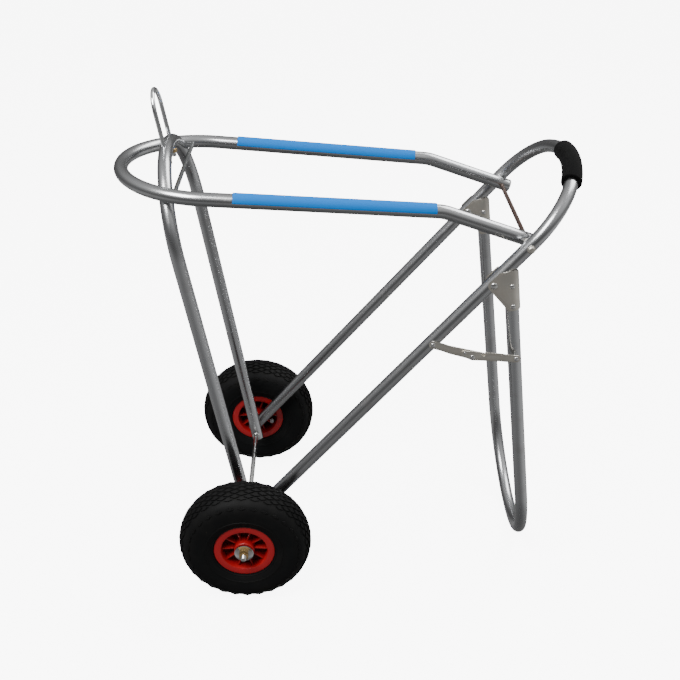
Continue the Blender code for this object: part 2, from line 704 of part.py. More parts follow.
def turn_valve(mesh):
    """Stands the valve's pieces midway between two ribs."""
    mesh.transform(Matrix.Rotation(math.pi / RIB_COUNT, 4, "Z"))
    return mesh


def build_wheels(finish):
    valve, valve_end = valve_mesh()
    cap_profile = [(0.0, 0.0), (VALVE_R + 0.0004, 0.0), (VALVE_R + 0.0010, -0.0010), (VALVE_R + 0.0008, -0.0062),
                   (VALVE_R - 0.001, -0.0070), (0.0, -0.0070)]
    valve_cap = turned_mesh("valve_cap", cap_profile, 12, closed=False)
    valve_cap.transform(Matrix.Translation(valve_end - Vector((0, 0, GAP))))
    hole = cylinder_mesh("valve_hole", VALVE_R + HOLE_PLAY, 3 * BARREL_WALL, 12)
    hole_place = Matrix.Translation((BARREL_R - BARREL_WALL / 2, 0, VALVE_Z))
    hole.transform(hole_place @ Matrix.Rotation(math.pi / 2, 4, "Y"))
    meshes = {
        "tyre": tyre_mesh(),
        "rim": rim_mesh(),
        "ribs": ribs_mesh(),
        "hub_bore": cylinder_mesh("hub_bore", BUSH_R + GAP, 0.2, WHEEL_SIDES),
        "inner_tube": turned_mesh("inner_tube", tube_section(), 20),
        "bush": bush_mesh(),
        "valve": turn_valve(valve),
        "valve_cap": turn_valve(valve_cap),
        "valve_hole": turn_valve(hole),
    }
    for side, name in SIDES:
        build_wheel(side, name, meshes, finish)


# Saddle rail

def rail_direction():
    """Direction of the rail's long part from the bend to the front, on the right side."""
    length = BEND_POINT.x - (AXLE_X - RAIL_FRONT + RAIL_ARC_R)
    toe = math.atan((RAIL_ARC_R - RAIL_REAR_HALF_WIDTH) / length)
    flat = Vector((-math.cos(toe), math.sin(toe), 0.0))
    return Vector((flat.x * math.cos(RAIL_SLOPE), flat.y, math.sin(RAIL_SLOPE) * math.cos(toe)))


def rail_crest():
    """Front point of the loop's middle line."""
    x = AXLE_X - RAIL_FRONT
    return Vector((x, 0.0, BEND_POINT.z + (BEND_POINT.x - x) * math.tan(RAIL_SLOPE)))


def rail_height(x):
    """Height of the middle line of the rail's long part."""
    return BEND_POINT.z + (BEND_POINT.x - x) * math.tan(RAIL_SLOPE)


def build_rail(finish, pivot):
    """Loop of the saddle rail, its cross rod, pads and plugs."""
    long_way = -rail_direction()
    rear_way = (RAIL_PIVOT - BEND_POINT).normalized()
    route = Bend(rail_crest(), (0, 1, 0))
    route.turn_to(long_way, RAIL_ARC_R)
    half_turn = long_way.angle(rear_way) / 2
    to_bend = (BEND_POINT.x - route.at.x) / long_way.x
    route.run(to_bend - RAIL_BEND_R * math.tan(half_turn))
    route.turn_to(rear_way, RAIL_BEND_R)
    route.run((RAIL_PIVOT - route.at).dot(rear_way) + RAIL_TAIL)
    route.start = route.start - RAIL_PIVOT
    shift_turns(route, -RAIL_PIVOT)
    rail = bent_loop("rail_loop", route, finish["tube"], RAIL_PIVOT, pivot)
    drill([rail], "rail_rod_hole", RAIL_PIVOT, RAIL_ROD_R + HOLE_PLAY, 4 * MAIN_HALF_WIDTH)
    build_cross_rod(finish, pivot, rail)
    end = route.at
    stub = TUBE_R - TUBE_WALL - 2 * GAP
    plug = turned_mesh("rail_plug", [(0.0, -PLUG_STUB), (stub, -PLUG_STUB), (stub, GAP), (TUBE_R, GAP),
                                     (TUBE_R - 0.001, GAP + PLUG_HEAD), (0.0, GAP + PLUG_HEAD)],
                       TUBE_SIDES, closed=False)
    for side, label in SIDES:
        obj = place(f"rail_plug_{label}", plug, finish["grey"], end * Vector((1, side, 1)), pivot)
        obj.rotation_euler = rear_way.to_track_quat("Z", "Y").to_euler()
        build_pad(side, label, finish, pivot)


def shift_turns(route, offset):
    """Moves the whole route, so that its piece can be drawn round its own pivot."""
    for index, move in enumerate(route.moves):
        if move[0] == "turn":
            route.moves[index] = (move[0], move[1] + offset, *move[2:])


def rail_half_width(x):
    """Distance of the rail's middle line from the middle plane, inside the front bend."""
    ahead = AXLE_X - RAIL_FRONT + RAIL_ARC_R - x
    return math.sqrt(RAIL_ARC_R**2 - ahead**2)


def build_cross_rod(finish, pivot, rail):
    x = AXLE_X - CROSS_ROD_AHEAD
    middle = Vector((x, 0.0, rail_height(x)))
    half = rail_half_width(x) - CROSS_ROD_SEAT
    rod = cylinder_mesh("rail_cross_rod", RAIL_ROD_R, 2 * (half - GAP), 12)
    rod.transform(Matrix.Rotation(math.pi / 2, 4, "X"))
    place("rail_cross_rod", rod, finish["steel"], middle, pivot)
    drill([rail], "cross_rod_seat", middle, RAIL_ROD_R + HOLE_PLAY, 2 * half)


def build_pad(side, name, finish, pivot):
    """Half-round strip along the top of one rail tube."""
    way = rail_direction() * -1
    way.y *= side
    start_x = AXLE_X + PAD_FRONT
    shoulder = AXLE_X - RAIL_FRONT + RAIL_ARC_R
    half_width = RAIL_ARC_R + (start_x - shoulder) / way.x * way.y * side
    start = Vector((start_x, side * half_width, rail_height(start_x)))
    inner = TUBE_R + 2 * GAP
    outer = inner + PAD_THICKNESS
    steps = 10
    turns = [math.pi * step / steps for step in range(steps + 1)]
    section = [(outer * math.cos(turn), outer * math.sin(turn)) for turn in turns]
    section += [(inner * math.cos(turn), inner * math.sin(turn)) for turn in reversed(turns)]
    across = Vector((0, 0, 1)).cross(way).normalized()
    up = way.cross(across).normalized()
    bm = bmesh.new()
    face = bm.faces.new([bm.verts.new(across * u + up * v) for u, v in section])
    grown = bmesh.ops.extrude_face_region(bm, geom=[face])["geom"]
    new = [item for item in grown if isinstance(item, bmesh.types.BMVert)]
    bmesh.ops.translate(bm, verts=new, vec=way * PAD_LENGTH)
    place(f"rail_pad_{name}", finish_mesh(bm, f"rail_pad_{name}"), finish["blue"], start, pivot)


def build_rail_rod(finish):
    """Cross rod that the rail swings on, with its spacers and push-on caps."""
    rod_end = MAIN_OUTER_Y + 0.004
    rod = cylinder_mesh("rail_rod", RAIL_ROD_R, 2 * rod_end, 12)
    rod.transform(Matrix.Rotation(math.pi / 2, 4, "X"))
    place("rail_rod", rod, finish["dark_steel"], RAIL_PIVOT)
    hole = RAIL_ROD_R + HOLE_PLAY
    add_pair("rail_rod_spacer",
             collar_mesh("rail_rod_spacer", 0.007, hole, RAIL_REAR_HALF_WIDTH + TUBE_R + 2 * GAP,
                         MAIN_INNER_Y - GAP),
             finish["nylon"], RAIL_PIVOT)
    face = MAIN_OUTER_Y + GAP
    profile = [(0.0, rod_end + GAP), (hole, rod_end + GAP), (hole, face), (RAIL_CAP_R, face),
               (RAIL_CAP_R, face + 0.0035), (RAIL_CAP_R * 0.6, rod_end + 0.0020), (0.0, rod_end + 0.0024)]
    cap = turned_mesh("rail_rod_cap", profile, SMALL_SIDES, closed=False)
    add_pair("rail_rod_cap", cap, finish["zinc"], RAIL_PIVOT)


# Rear leg

def build_leg(finish, pivot):
    """U-shaped leg. Its top ends are mitred to stand clear of the main tubes."""
    drop = (HINGE.z + LEG_OFFSET * math.sin(LEG_LEAN) - TUBE_R) / math.cos(LEG_LEAN)
    route = Bend((LEG_OFFSET, 0, -drop), (0, 1, 0))
    route.turn_to((0, 0, 1), LEG_ARC_R)
    route.run(-route.at.z + 2 * TUBE_R)
    rise = math.pi / 2 + LEG_LEAN - MAIN_SLOPE
    main_way = Vector((math.sin(rise), 0, math.cos(rise)))
    square = Vector((-main_way.z, 0, main_way.x))
    mitre = (-square * (TUBE_R + 3 * GAP), square)
    leg = bent_loop("leg_loop", route, finish["tube"], HINGE, pivot, tilt=-LEG_LEAN, mitre=mitre)
    for index, height in enumerate(BRACKET_RIVETS):
        middle = HINGE + LEG_BACK * LEG_OFFSET + LEG_UP * height
        drill([leg], f"leg_rivet_hole_{index}", middle, RIVET_R + HOLE_PLAY, 4 * LEG_ARC_R, sides=8)


def bracket_outline():
    """Side view of a bracket as discs: across from the hinge towards the leg, and up along the leg."""
    back = LEG_OFFSET + TUBE_R + SIDE_PLAY + BRACKET_SHEET
    r = BRACKET_CORNER_R
    return [
        (0.0, 0.0, BRACKET_NOSE_R),
        (LEG_OFFSET - 0.0096 + r, r - BRACKET_BELOW, r),
        (back, r - BRACKET_BELOW, r),
        (back, BRACKET_ABOVE - 0.0120, r),
        (LEG_OFFSET + 0.0060, BRACKET_ABOVE - r, r),
        (0.0094 + r, BRACKET_ABOVE - 0.0024 - r, r),
    ]


def build_brackets(finish, pivot):
    """Folded sheet brackets: two cheeks round the main tube, joined by a bend round the leg."""
    inner = TUBE_R + SIDE_PLAY
    outer = inner + BRACKET_SHEET
    reach = 3 * BRACKET_NOSE_R
    for side, name in SIDES:
        middle = HINGE + Vector((0, side * MAIN_HALF_WIDTH, 0))
        tall = 0.08
        channel = hull_prism_mesh(f"hinge_bracket_{name}", [(LEG_OFFSET, 0, outer), (-reach, 0, outer)],
                                  -tall, tall, "Z", 16)
        bracket = place(f"hinge_bracket_{name}", channel, finish["zinc"], middle, pivot, -LEG_LEAN)
        outline = hull_prism_mesh("bracket_outline", bracket_outline(), -2 * outer, 2 * outer, "Y", 16)
        combine(bracket, as_cutter(place(f"bracket_outline_{name}", outline, None, middle, pivot, -LEG_LEAN)),
                "INTERSECT")
        hollow = hull_prism_mesh("bracket_hollow", [(LEG_OFFSET, 0, inner), (-2 * reach, 0, inner)],
                                 -2 * tall, 2 * tall, "Z", 16)
        combine(bracket, as_cutter(place(f"bracket_hollow_{name}", hollow, None, middle, pivot, -LEG_LEAN)))
        drill([bracket], f"bracket_hinge_hole_{name}", middle, HINGE_BOLT_R + HOLE_PLAY, 4 * outer)
        for index, height in enumerate(BRACKET_RIVETS):
            spot = middle + LEG_BACK * LEG_OFFSET + LEG_UP * height
            drill([bracket], f"bracket_rivet_hole_{name}_{index}", spot, RIVET_R + HOLE_PLAY, 4 * outer, sides=8)


def build_bracket_pins(finish, pivot):
    """Hinge rivets through cheeks and main tubes, and the rivets that hold the brackets to the leg."""
    grip = TUBE_R + SIDE_PLAY + BRACKET_SHEET + GAP
    hinge = rivet_mesh("hinge_pin", HINGE_BOLT_R, HINGE_HEAD_R, 0.0028, MAIN_HALF_WIDTH - grip,
                       MAIN_HALF_WIDTH + grip)
    add_pair("hinge_pin", hinge, finish["steel"], HINGE, pivot)
    rivet = rivet_mesh("bracket_rivet", RIVET_R, RIVET_HEAD_R, RIVET_HEAD, MAIN_HALF_WIDTH - grip,
                       MAIN_HALF_WIDTH + grip)
    for level, height in zip(("upper", "lower"), BRACKET_RIVETS):
        spot = HINGE + LEG_BACK * LEG_OFFSET + LEG_UP * height
        add_pair(f"bracket_rivet_{level}", rivet, finish["steel"], spot, pivot)


# Folding stay

def stay_planes():
    """Distance of each strip's middle plane from the trolley's middle: front end, knee and leg end."""
    front_end = MAIN_OUTER_Y + SIDE_PLAY + STAY_SHEET / 2
    front_knee = front_end + STAY_JOGGLE
    rear_knee = front_knee + STAY_SHEET + SIDE_PLAY
    return front_end, front_knee, rear_knee, rear_knee + STAY_LEG_JOGGLE


def strip_mesh(name, discs, joggle):
    """Flat strip in the XZ plane with one joggle: (x where it begins, x where it ends, shift along -Y)."""
    source = hull_prism_mesh(name, discs, 0.0, 0.01, "Y", 20)
    bm = bmesh.new()
    bm.from_mesh(source)
    others = [face for face in bm.faces if face.normal.y > -0.9]
    bmesh.ops.delete(bm, geom=others, context="FACES")
    begin, end, shift = joggle
    for x in (begin, end):
        everything = bm.verts[:] + bm.edges[:] + bm.faces[:]
        bmesh.ops.bisect_plane(bm, geom=everything, plane_co=(x, 0, 0), plane_no=(1, 0, 0))
    for vert in bm.verts:
        share = (vert.co.x - begin) / (end - begin)
        vert.co.y -= shift * min(1.0, max(0.0, share))
    mesh = bpy.data.meshes.new(name)
    bm.to_mesh(mesh)
    bm.free()
    return mesh


def thicken(obj):
    modifier = obj.modifiers.new("sheet", "SOLIDIFY")
    modifier.thickness = STAY_SHEET
    modifier.offset = 0.0
    modifier.use_even_offset = True


def notch(target, name, stud, knee, pivot):
    """Open notch in a strip's top edge, over the stud of the strip behind it."""
    away = Vector((-stud.y, stud.x)).normalized()
    reach = [stud, stud + away * STAY_NOTCH_REACH]
    discs = [(point.x, point.y, STAY_STUD_R + 2 * GAP) for point in reach]
    mesh = hull_prism_mesh(name, discs, -STAY_NOTCH_REACH, STAY_NOTCH_REACH, "Y", 16)
    combine(target, as_cutter(place(name, mesh, None, knee, pivot)))


def build_stay(finish, front_pivot, knee_pivot):
    """Two riveted strips that lock the leg open. The knee lies under the line of their ends."""
    front_end, front_knee, rear_knee, rear_end = stay_planes()
    to_knee = STAY_KNEE - STAY_MAIN
    to_leg = STAY_LEG - STAY_KNEE
    width = STAY_HALF_WIDTH
    front_slope = (to_knee.z + STAY_RISE) / to_knee.x
    front_tip_x = to_knee.x + STAY_STUD_FRONT.x + 0.001
    front_discs = [(0, 0, width), (front_tip_x, front_slope * front_tip_x, width - 0.001),
                   (to_knee.x, to_knee.z, STAY_EAR_R)]
    front = place("stay_link_front", strip_mesh("stay_link_front", front_discs, (0.017, 0.029, STAY_JOGGLE)),
                  finish["zinc"], STAY_MAIN - Vector((0, front_end, 0)), front_pivot)
    thicken(front)
    rear_slope = (to_leg.z - STAY_RISE) / to_leg.x
    rear_tip_x = STAY_STUD_REAR.x - 0.001
    rear_discs = [(to_leg.x, to_leg.z, width), (rear_tip_x, STAY_RISE + rear_slope * rear_tip_x, width - 0.001),
                  (0, 0, STAY_EAR_R)]
    rear_joggle = (to_leg.x - 0.030, to_leg.x - 0.018, STAY_LEG_JOGGLE)
    rear = place("stay_link_rear", strip_mesh("stay_link_rear", rear_discs, rear_joggle), finish["zinc"],
                 STAY_KNEE - Vector((0, rear_knee, 0)), knee_pivot)
    thicken(rear)
    notch(rear, "rear_notch", STAY_STUD_FRONT, STAY_KNEE - Vector((0, rear_knee, 0)), knee_pivot)
    for strip, spot, middle in ((front, STAY_STUD_FRONT, front_knee), (rear, STAY_STUD_REAR, rear_knee)):
        place_of_stud = STAY_KNEE + Vector((spot.x, -middle, spot.y))
        drill([strip], f"{strip.name}_stud_hole", place_of_stud, STAY_STUD_R + HOLE_PLAY, 2 * STAY_SHEET, sides=8)
    hole = RIVET_R + HOLE_PLAY
    drill([front], "stay_main_hole", STAY_MAIN - Vector((0, front_end, 0)), hole, 0.02, sides=8)
    drill([front, rear], "stay_knee_hole", STAY_KNEE - Vector((0, front_knee, 0)), hole, 0.03, sides=8)
    drill([rear], "stay_leg_hole", STAY_LEG - Vector((0, rear_end, 0)), hole, 0.02, sides=8)
    build_stay_pins(finish, front_pivot, knee_pivot)


def build_stay_pins(finish, front_pivot, knee_pivot):
    front_end, front_knee, rear_knee, rear_end = stay_planes()
    half = STAY_SHEET / 2
    main_rivet = rivet_mesh("stay_main_rivet", RIVET_R, RIVET_HEAD_R, RIVET_HEAD,
                            MAIN_OUTER_Y - TUBE_R / 2, front_end + half + GAP, tail_head=False)
    side_piece("stay_main_rivet", main_rivet, finish["steel"], STAY_MAIN, -1)
    knee_rivet = rivet_mesh("stay_knee_rivet", RIVET_R, RIVET_HEAD_R, STAY_KNEE_HEAD, front_knee - half - GAP,
                            rear_knee + half + GAP)
    side_piece("stay_knee_rivet", knee_rivet, finish["steel"], STAY_KNEE, -1, knee_pivot)
    leg_rivet = rivet_mesh("stay_leg_rivet", RIVET_R, RIVET_HEAD_R, RIVET_HEAD, rear_end - half,
                           rear_end + half + GAP, tail_head=False)
    side_piece("stay_leg_rivet", leg_rivet, finish["steel"], STAY_LEG, -1, knee_pivot)
    front_stud = rivet_mesh("stay_front_stud", STAY_STUD_R, STAY_STUD_R, STAY_STUD_HEAD, front_knee - half,
                            front_knee + half - STAY_STUD_HEAD, tail_head=False)
    front_spot = STAY_KNEE + Vector((STAY_STUD_FRONT.x, 0, STAY_STUD_FRONT.y))
    side_piece("stay_front_stud", front_stud, finish["steel"], front_spot, -1, front_pivot)
    rear_stud = rivet_mesh("stay_rear_stud", STAY_STUD_R, STAY_STUD_R, STAY_STUD_HEAD, rear_knee - half,
                           rear_knee + half, tail_head=False)
    rear_spot = STAY_KNEE + Vector((STAY_STUD_REAR.x, 0, STAY_STUD_REAR.y))
    side_piece("stay_rear_stud", rear_stud, finish["steel"], rear_spot, -1, knee_pivot)


def build_stay_spacer(finish, leg_pivot):
    """Spacer on the leg, which stays clear of the rear strip's joggle as the strip swings past."""
    rear_knee = stay_planes()[2]
    spacer = collar_mesh("stay_leg_spacer", STAY_SPACER_R, RIVET_R + HOLE_PLAY, MAIN_OUTER_Y + GAP,
                         rear_knee - STAY_SHEET / 2 - 2 * GAP, SMALL_SIDES)
    side_piece("stay_leg_spacer", spacer, finish["steel"], STAY_LEG, -1, leg_pivot)


def main():
    clear_scene()
    finish = make_materials()
    leg_pivot = make_empty("leg_hinge_axis", HINGE)
    rail_pivot = make_empty("rail_axis", RAIL_PIVOT)
    stay_pivot = make_empty("stay_main_axis", STAY_MAIN)
    knee_pivot = make_empty("stay_knee_axis", STAY_KNEE)
    build_main_frame(finish)
    build_grip(finish)
    build_front_frame(finish)
    build_bail(finish)
    build_axle(finish)
    build_wheels(finish)
    build_rail_rod(finish)
    build_rail(finish, rail_pivot)
    build_leg(finish, leg_pivot)
    build_brackets(finish, leg_pivot)
    build_bracket_pins(finish, leg_pivot)
    build_stay(finish, stay_pivot, knee_pivot)
    build_stay_spacer(finish, leg_pivot)


main()
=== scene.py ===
"""Looks of a folding saddle trolley: bent satin tube on two pneumatic wheels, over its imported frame."""

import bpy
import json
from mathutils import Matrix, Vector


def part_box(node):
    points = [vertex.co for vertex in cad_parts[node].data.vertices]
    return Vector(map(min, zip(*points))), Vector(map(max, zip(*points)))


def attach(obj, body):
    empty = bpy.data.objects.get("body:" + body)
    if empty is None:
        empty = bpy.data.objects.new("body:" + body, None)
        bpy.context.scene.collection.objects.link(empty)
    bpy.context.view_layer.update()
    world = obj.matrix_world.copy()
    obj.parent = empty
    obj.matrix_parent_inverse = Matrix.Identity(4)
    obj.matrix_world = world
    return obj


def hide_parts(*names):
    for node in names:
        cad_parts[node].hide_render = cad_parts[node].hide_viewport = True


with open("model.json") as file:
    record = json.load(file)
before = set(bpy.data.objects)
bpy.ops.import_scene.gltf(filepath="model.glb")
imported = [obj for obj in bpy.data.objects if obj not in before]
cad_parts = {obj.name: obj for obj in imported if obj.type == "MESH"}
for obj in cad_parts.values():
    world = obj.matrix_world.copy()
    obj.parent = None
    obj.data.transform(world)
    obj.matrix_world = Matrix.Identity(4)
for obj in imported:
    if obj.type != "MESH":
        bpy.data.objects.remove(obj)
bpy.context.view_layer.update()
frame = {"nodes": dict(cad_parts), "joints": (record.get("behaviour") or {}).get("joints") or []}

import json
import logging
import math
from collections.abc import Callable, Iterable, Iterator, Sequence
from contextlib import contextmanager
from dataclasses import dataclass, field
from enum import Enum

import bmesh
import bpy
from mathutils import Matrix, Vector

LOG = logging.getLogger("trolley")

Piece = bpy.types.Object
Colour = tuple[float, float, float]
Profile = Sequence[tuple[float, float]]      # (radius, height) or (position, grey)
Disc = tuple[float, float, float]            # (x, y, radius)

GAP = 0.0003
TUBE_R = 0.0125
TUBE_WALL = 0.0015
SHEET_PLAY = 0.0004
SIDES = ((-1, "left"), (1, "right"))
EDGE = 0.0004           # broken edge of a small turned piece
POINT = 2e-5            # radius of the tiny ring that closes a turned piece on its axis
SAME = 1e-9             # radii that differ by less are the same
BAR = "bar"             # attribute: place in a bent bar as if it were straight, its length along Z
Y_AXIS = Vector((0, 1, 0))
Z_AXIS = Vector((0, 0, 1))


# Where the joints are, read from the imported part

JOINTS = {joint["name"]: Vector(joint["pos_m"]) for joint in frame["joints"]}
AXLE = JOINTS["left_wheel_spin"] * Vector((1, 0, 1))
HALF_TRACK = abs(JOINTS["left_wheel_spin"].y)
HINGE = JOINTS["leg_fold"]
RAIL_PIVOT = JOINTS["rail_lift"]
STAY_MAIN = JOINTS["stay_front_turn"]
STAY_KNEE = JOINTS["stay_knee_turn"]
MAIN_WAY = (RAIL_PIVOT - AXLE).normalized()
MAIN_HALF_WIDTH = 0.1725
MAIN_OUTER = MAIN_HALF_WIDTH + TUBE_R


def standing(centre: Vector, axis: Vector) -> Matrix:
    """The place of a piece that was made upright at the origin and belongs on an axis."""
    return Matrix.Translation(centre) @ Vector(axis).to_track_quat("Z", "Y").to_matrix().to_4x4()


def mirrored(points: Profile) -> list[tuple[float, float]]:
    """A run of (radius, height) points mirrored to the other side of height 0, in the opposite order."""
    return [(radius, -height) for radius, height in reversed(points)]


def across(point: Vector, y: float) -> Vector:
    """The point moved to a distance y from the middle plane."""
    return Vector((point.x, y, point.z))


def tilted(lean: float) -> tuple[Vector, Vector]:
    """Directions up and back of a post that leans from the vertical.

    Args:
        lean: Angle towards -X, in radians.

    Returns:
        The way up along the post, and the way square to it towards +X.
    """
    return Vector((-math.sin(lean), 0, math.cos(lean))), Vector((math.cos(lean), 0, math.sin(lean)))


# Bench: Blender's own modelling tools, used as by hand

def deselect() -> None:
    """Leaves nothing selected and nothing active."""
    bpy.ops.object.select_all(action="DESELECT")
    bpy.context.view_layer.objects.active = None


def hold(obj: Piece) -> None:
    """Selects one object alone and makes it active.

    Args:
        obj: The object.
    """
    deselect()
    obj.select_set(True)
    bpy.context.view_layer.objects.active = obj


@contextmanager
def editing(obj: Piece, mode: str = "EDGE") -> Iterator[None]:
    """Opens the object in edit mode, with everything selected, and closes it again.

    Args:
        obj: The mesh object.
        mode: Selection mode: VERT, EDGE or FACE.
    """
    hold(obj)
    bpy.ops.object.mode_set(mode="EDIT")
    bpy.ops.mesh.select_mode(type=mode)
    bpy.ops.mesh.select_all(action="SELECT")
    yield
    bpy.ops.object.mode_set(mode="OBJECT")


def choose(obj: Piece, kind: str, wanted: Callable) -> int:
    """Selects the parts of an open mesh that pass a test.

    Args:
        obj: The object in edit mode.
        kind: verts, edges or faces.
        wanted: Test on each of them.

    Returns:
        How many were selected.
    """
    bpy.ops.mesh.select_all(action="DESELECT")
    bm = bmesh.from_edit_mesh(obj.data)
    found = 0
    for item in getattr(bm, kind):
        if wanted(item):
            item.select_set(True)
            found += 1
    bm.select_flush_mode()
    bmesh.update_edit_mesh(obj.data)
    return found


def settle(obj: Piece, name: str) -> Piece:
    """Names a new object and puts its place, turn and scale into its mesh.

    Args:
        obj: An object that has just been made.
        name: Its name.

    Returns:
        The same object.
    """
    obj.name = name
    obj.data.name = name
    hold(obj)
    bpy.ops.object.transform_apply(location=True, rotation=True, scale=True)
    return obj


def shift_mesh(obj: Piece, matrix: Matrix) -> Piece:
    """Places a finished mesh, with its object left at the origin.

    Args:
        obj: The piece.
        matrix: Where it goes.

    Returns:
        The same piece.
    """
    obj.matrix_world = matrix
    hold(obj)
    bpy.ops.object.transform_apply(location=True, rotation=True, scale=True)
    return obj


def smooth(obj: Piece, angle: float) -> Piece:
    """Shades a piece smooth, apart from edges sharper than an angle in degrees.

    Args:
        obj: The piece.
        angle: The sharpest angle that is still shaded smooth.

    Returns:
        The same piece.
    """
    hold(obj)
    bpy.ops.object.shade_smooth_by_angle(angle=math.radians(angle))
    return obj


def tidy(obj: Piece, angle: float = 35.0) -> Piece:
    """Merges doubles, turns faces outwards and shades the round ones smooth.

    Args:
        obj: The piece.
        angle: As in smooth, in degrees.

    Returns:
        The same piece.
    """
    with editing(obj, "VERT"):
        bpy.ops.mesh.remove_doubles(threshold=2e-6)
        bpy.ops.mesh.normals_make_consistent(inside=False)
    return smooth(obj, angle)


def finish_with(obj: Piece, kind: str, **settings: object) -> Piece:
    """Adds one modifier and applies it.

    Args:
        obj: The object.
        kind: Modifier type.
        **settings: Its settings.

    Returns:
        The same object.
    """
    modifier = obj.modifiers.new(kind.lower(), kind)
    for key, value in settings.items():
        setattr(modifier, key, value)
    hold(obj)
    bpy.ops.object.modifier_apply(modifier=modifier.name)
    return obj


def soften(obj: Piece, width: float, segments: int = 2, limit: float = 50.0) -> Piece:
    """Rounds the sharp edges of a piece.

    Args:
        obj: The piece.
        width: Width of the rounding.
        segments: Faces across it.
        limit: Smallest angle that counts as sharp, in degrees.

    Returns:
        The same piece.
    """
    finish_with(obj, "BEVEL", width=width, segments=segments, limit_method="ANGLE",
                angle_limit=math.radians(limit), harden_normals=False)
    return obj


def cut_with(obj: Piece, tool: Piece, operation: str = "DIFFERENCE") -> Piece:
    """Boolean with another closed piece, which is used up.

    Args:
        obj: The piece.
        tool: The other piece.
        operation: DIFFERENCE, UNION or INTERSECT.

    Returns:
        The same piece.
    """
    finish_with(obj, "BOOLEAN", operation=operation, solver="EXACT", object=tool)
    bpy.data.objects.remove(tool, do_unlink=True)
    return obj


def join(name: str, parts: Sequence[Piece]) -> Piece:
    """Joins several meshes into one object.

    Args:
        name: Name of the whole.
        parts: The meshes; the first takes up the others.

    Returns:
        The joined piece.
    """
    deselect()
    for part in parts:
        part.select_set(True)
    bpy.context.view_layer.objects.active = parts[0]
    bpy.ops.object.join()
    return settle(parts[0], name)


def ring(name: str, radius: float, sides: int, centre: Vector, axis: Vector) -> Piece:
    """A circle of edges round an axis: the start of every bar and turned piece.

    Args:
        name: Its name.
        radius: Its radius.
        sides: Number of edges.
        centre: Its centre.
        axis: Its axis.

    Returns:
        The circle, with edges only.
    """
    deselect()
    turn = Vector(axis).to_track_quat("Z", "Y").to_euler()
    bpy.ops.mesh.primitive_circle_add(vertices=sides, radius=radius, location=centre, rotation=turn)
    return settle(bpy.context.object, name)


def copy_of(obj: Piece, name: str, matrix: Matrix) -> Piece:
    """A copy with its own mesh. Where a matrix mirrors it, its faces are turned back outwards.

    Args:
        obj: The piece.
        name: Name of the copy.
        matrix: Where the copy goes.

    Returns:
        The copy.
    """
    twin = obj.copy()
    twin.data = obj.data.copy()
    twin.name = name
    twin.data.name = name
    bpy.context.scene.collection.objects.link(twin)
    twin.data.transform(matrix)
    if matrix.determinant() < 0:
        twin.data.flip_normals()
    return twin


# Bent bars

@dataclass
class Route:
    """The middle line of a bent bar: straight runs and bends from a start."""

    start: Vector
    heading: Vector
    moves: list[tuple] = field(default_factory=list)

    def __post_init__(self) -> None:
        """Sets off from the start."""
        self.at = Vector(self.start)
        self.first = Vector(self.heading).normalized()
        self.heading = self.first.copy()

    def run(self, length: float) -> "Route":
        """Goes straight on for a length.

        Args:
            length: The length.

        Returns:
            The same route.
        """
        self.moves.append(("run", self.heading * length))
        self.at = self.at + self.heading * length
        return self

    def turn_to(self, direction: Vector, radius: float) -> "Route":
        """Bends until it heads in a new direction.

        Args:
            direction: The new heading.
            radius: Bend radius of the middle line.

        Returns:
            The route itself.
        """
        direction = Vector(direction).normalized()
        axis = self.heading.cross(direction).normalized()
        angle = self.heading.angle(direction)
        centre = self.at + axis.cross(self.heading) * radius
        self.moves.append(("turn", centre, axis, angle))
        self.at = centre + Matrix.Rotation(angle, 3, axis) @ (self.at - centre)
        self.heading = direction
        return self

    def loop(self) -> "Route":
        """The whole loop of which this route is the right half, from its left end to its right end.

        Returns:
            The whole loop.
        """
        flip = Matrix.Scale(-1, 3, Y_AXIS)
        whole = Route(flip @ self.at, flip @ -self.heading)
        for move in reversed(self.moves):
            if move[0] == "run":
                whole.moves.append(("run", flip @ -move[1]))
            else:
                whole.moves.append(("turn", flip @ move[1], flip @ move[2], move[3]))
        whole.moves.extend(self.moves)
        return whole


def bend_bar(name: str, route: Route, radius: float, sides: int, step: float = 4.0,
             stretch: float = 0.05) -> Piece:
    """Draws a ring along a route, as a tube bender would.

    Args:
        name: Name of the piece.
        route: Its middle line.
        radius: Outer radius.
        sides: Facets round it.
        step: Degrees for each step of a bend.
        stretch: Longest straight step, in metres.

    Returns:
        The open-ended skin, with the BAR attribute on its points.
    """
    obj = ring(name, radius, sides, route.start, route.first)
    with editing(obj):
        for move in route.moves:
            if move[0] == "run":
                pieces = max(1, math.ceil(move[1].length / stretch))
                for _ in range(pieces):
                    bpy.ops.mesh.extrude_region_move(TRANSFORM_OT_translate={"value": move[1] / pieces})
                continue
            _, centre, axis, angle = move
            steps = max(1, math.ceil(math.degrees(angle) / step))
            bpy.ops.mesh.spin(steps=steps, angle=-angle, center=centre, axis=axis)
    mark_bar(obj, radius, sides)
    with editing(obj):
        bpy.ops.mesh.normals_make_consistent(inside=False)
    return obj


def mark_bar(obj: Piece, radius: float, sides: int) -> None:
    """Writes each point's place in the straightened bar to the BAR attribute.

    Args:
        obj: A bar with one ring of points after another.
        radius: The bar's radius.
        sides: Points in a ring.
    """
    points = obj.data.vertices
    attribute = obj.data.attributes.new(BAR, "FLOAT_VECTOR", "POINT")
    travelled = 0.0
    before = None
    for first in range(0, len(points), sides):
        middle = sum((points[first + k].co for k in range(sides)), Vector()) / sides
        travelled += (middle - before).length if before else 0.0
        before = middle
        for k in range(sides):
            turn = math.tau * k / sides
            place = (radius * math.cos(turn), radius * math.sin(turn), travelled)
            attribute.data[first + k].vector = place


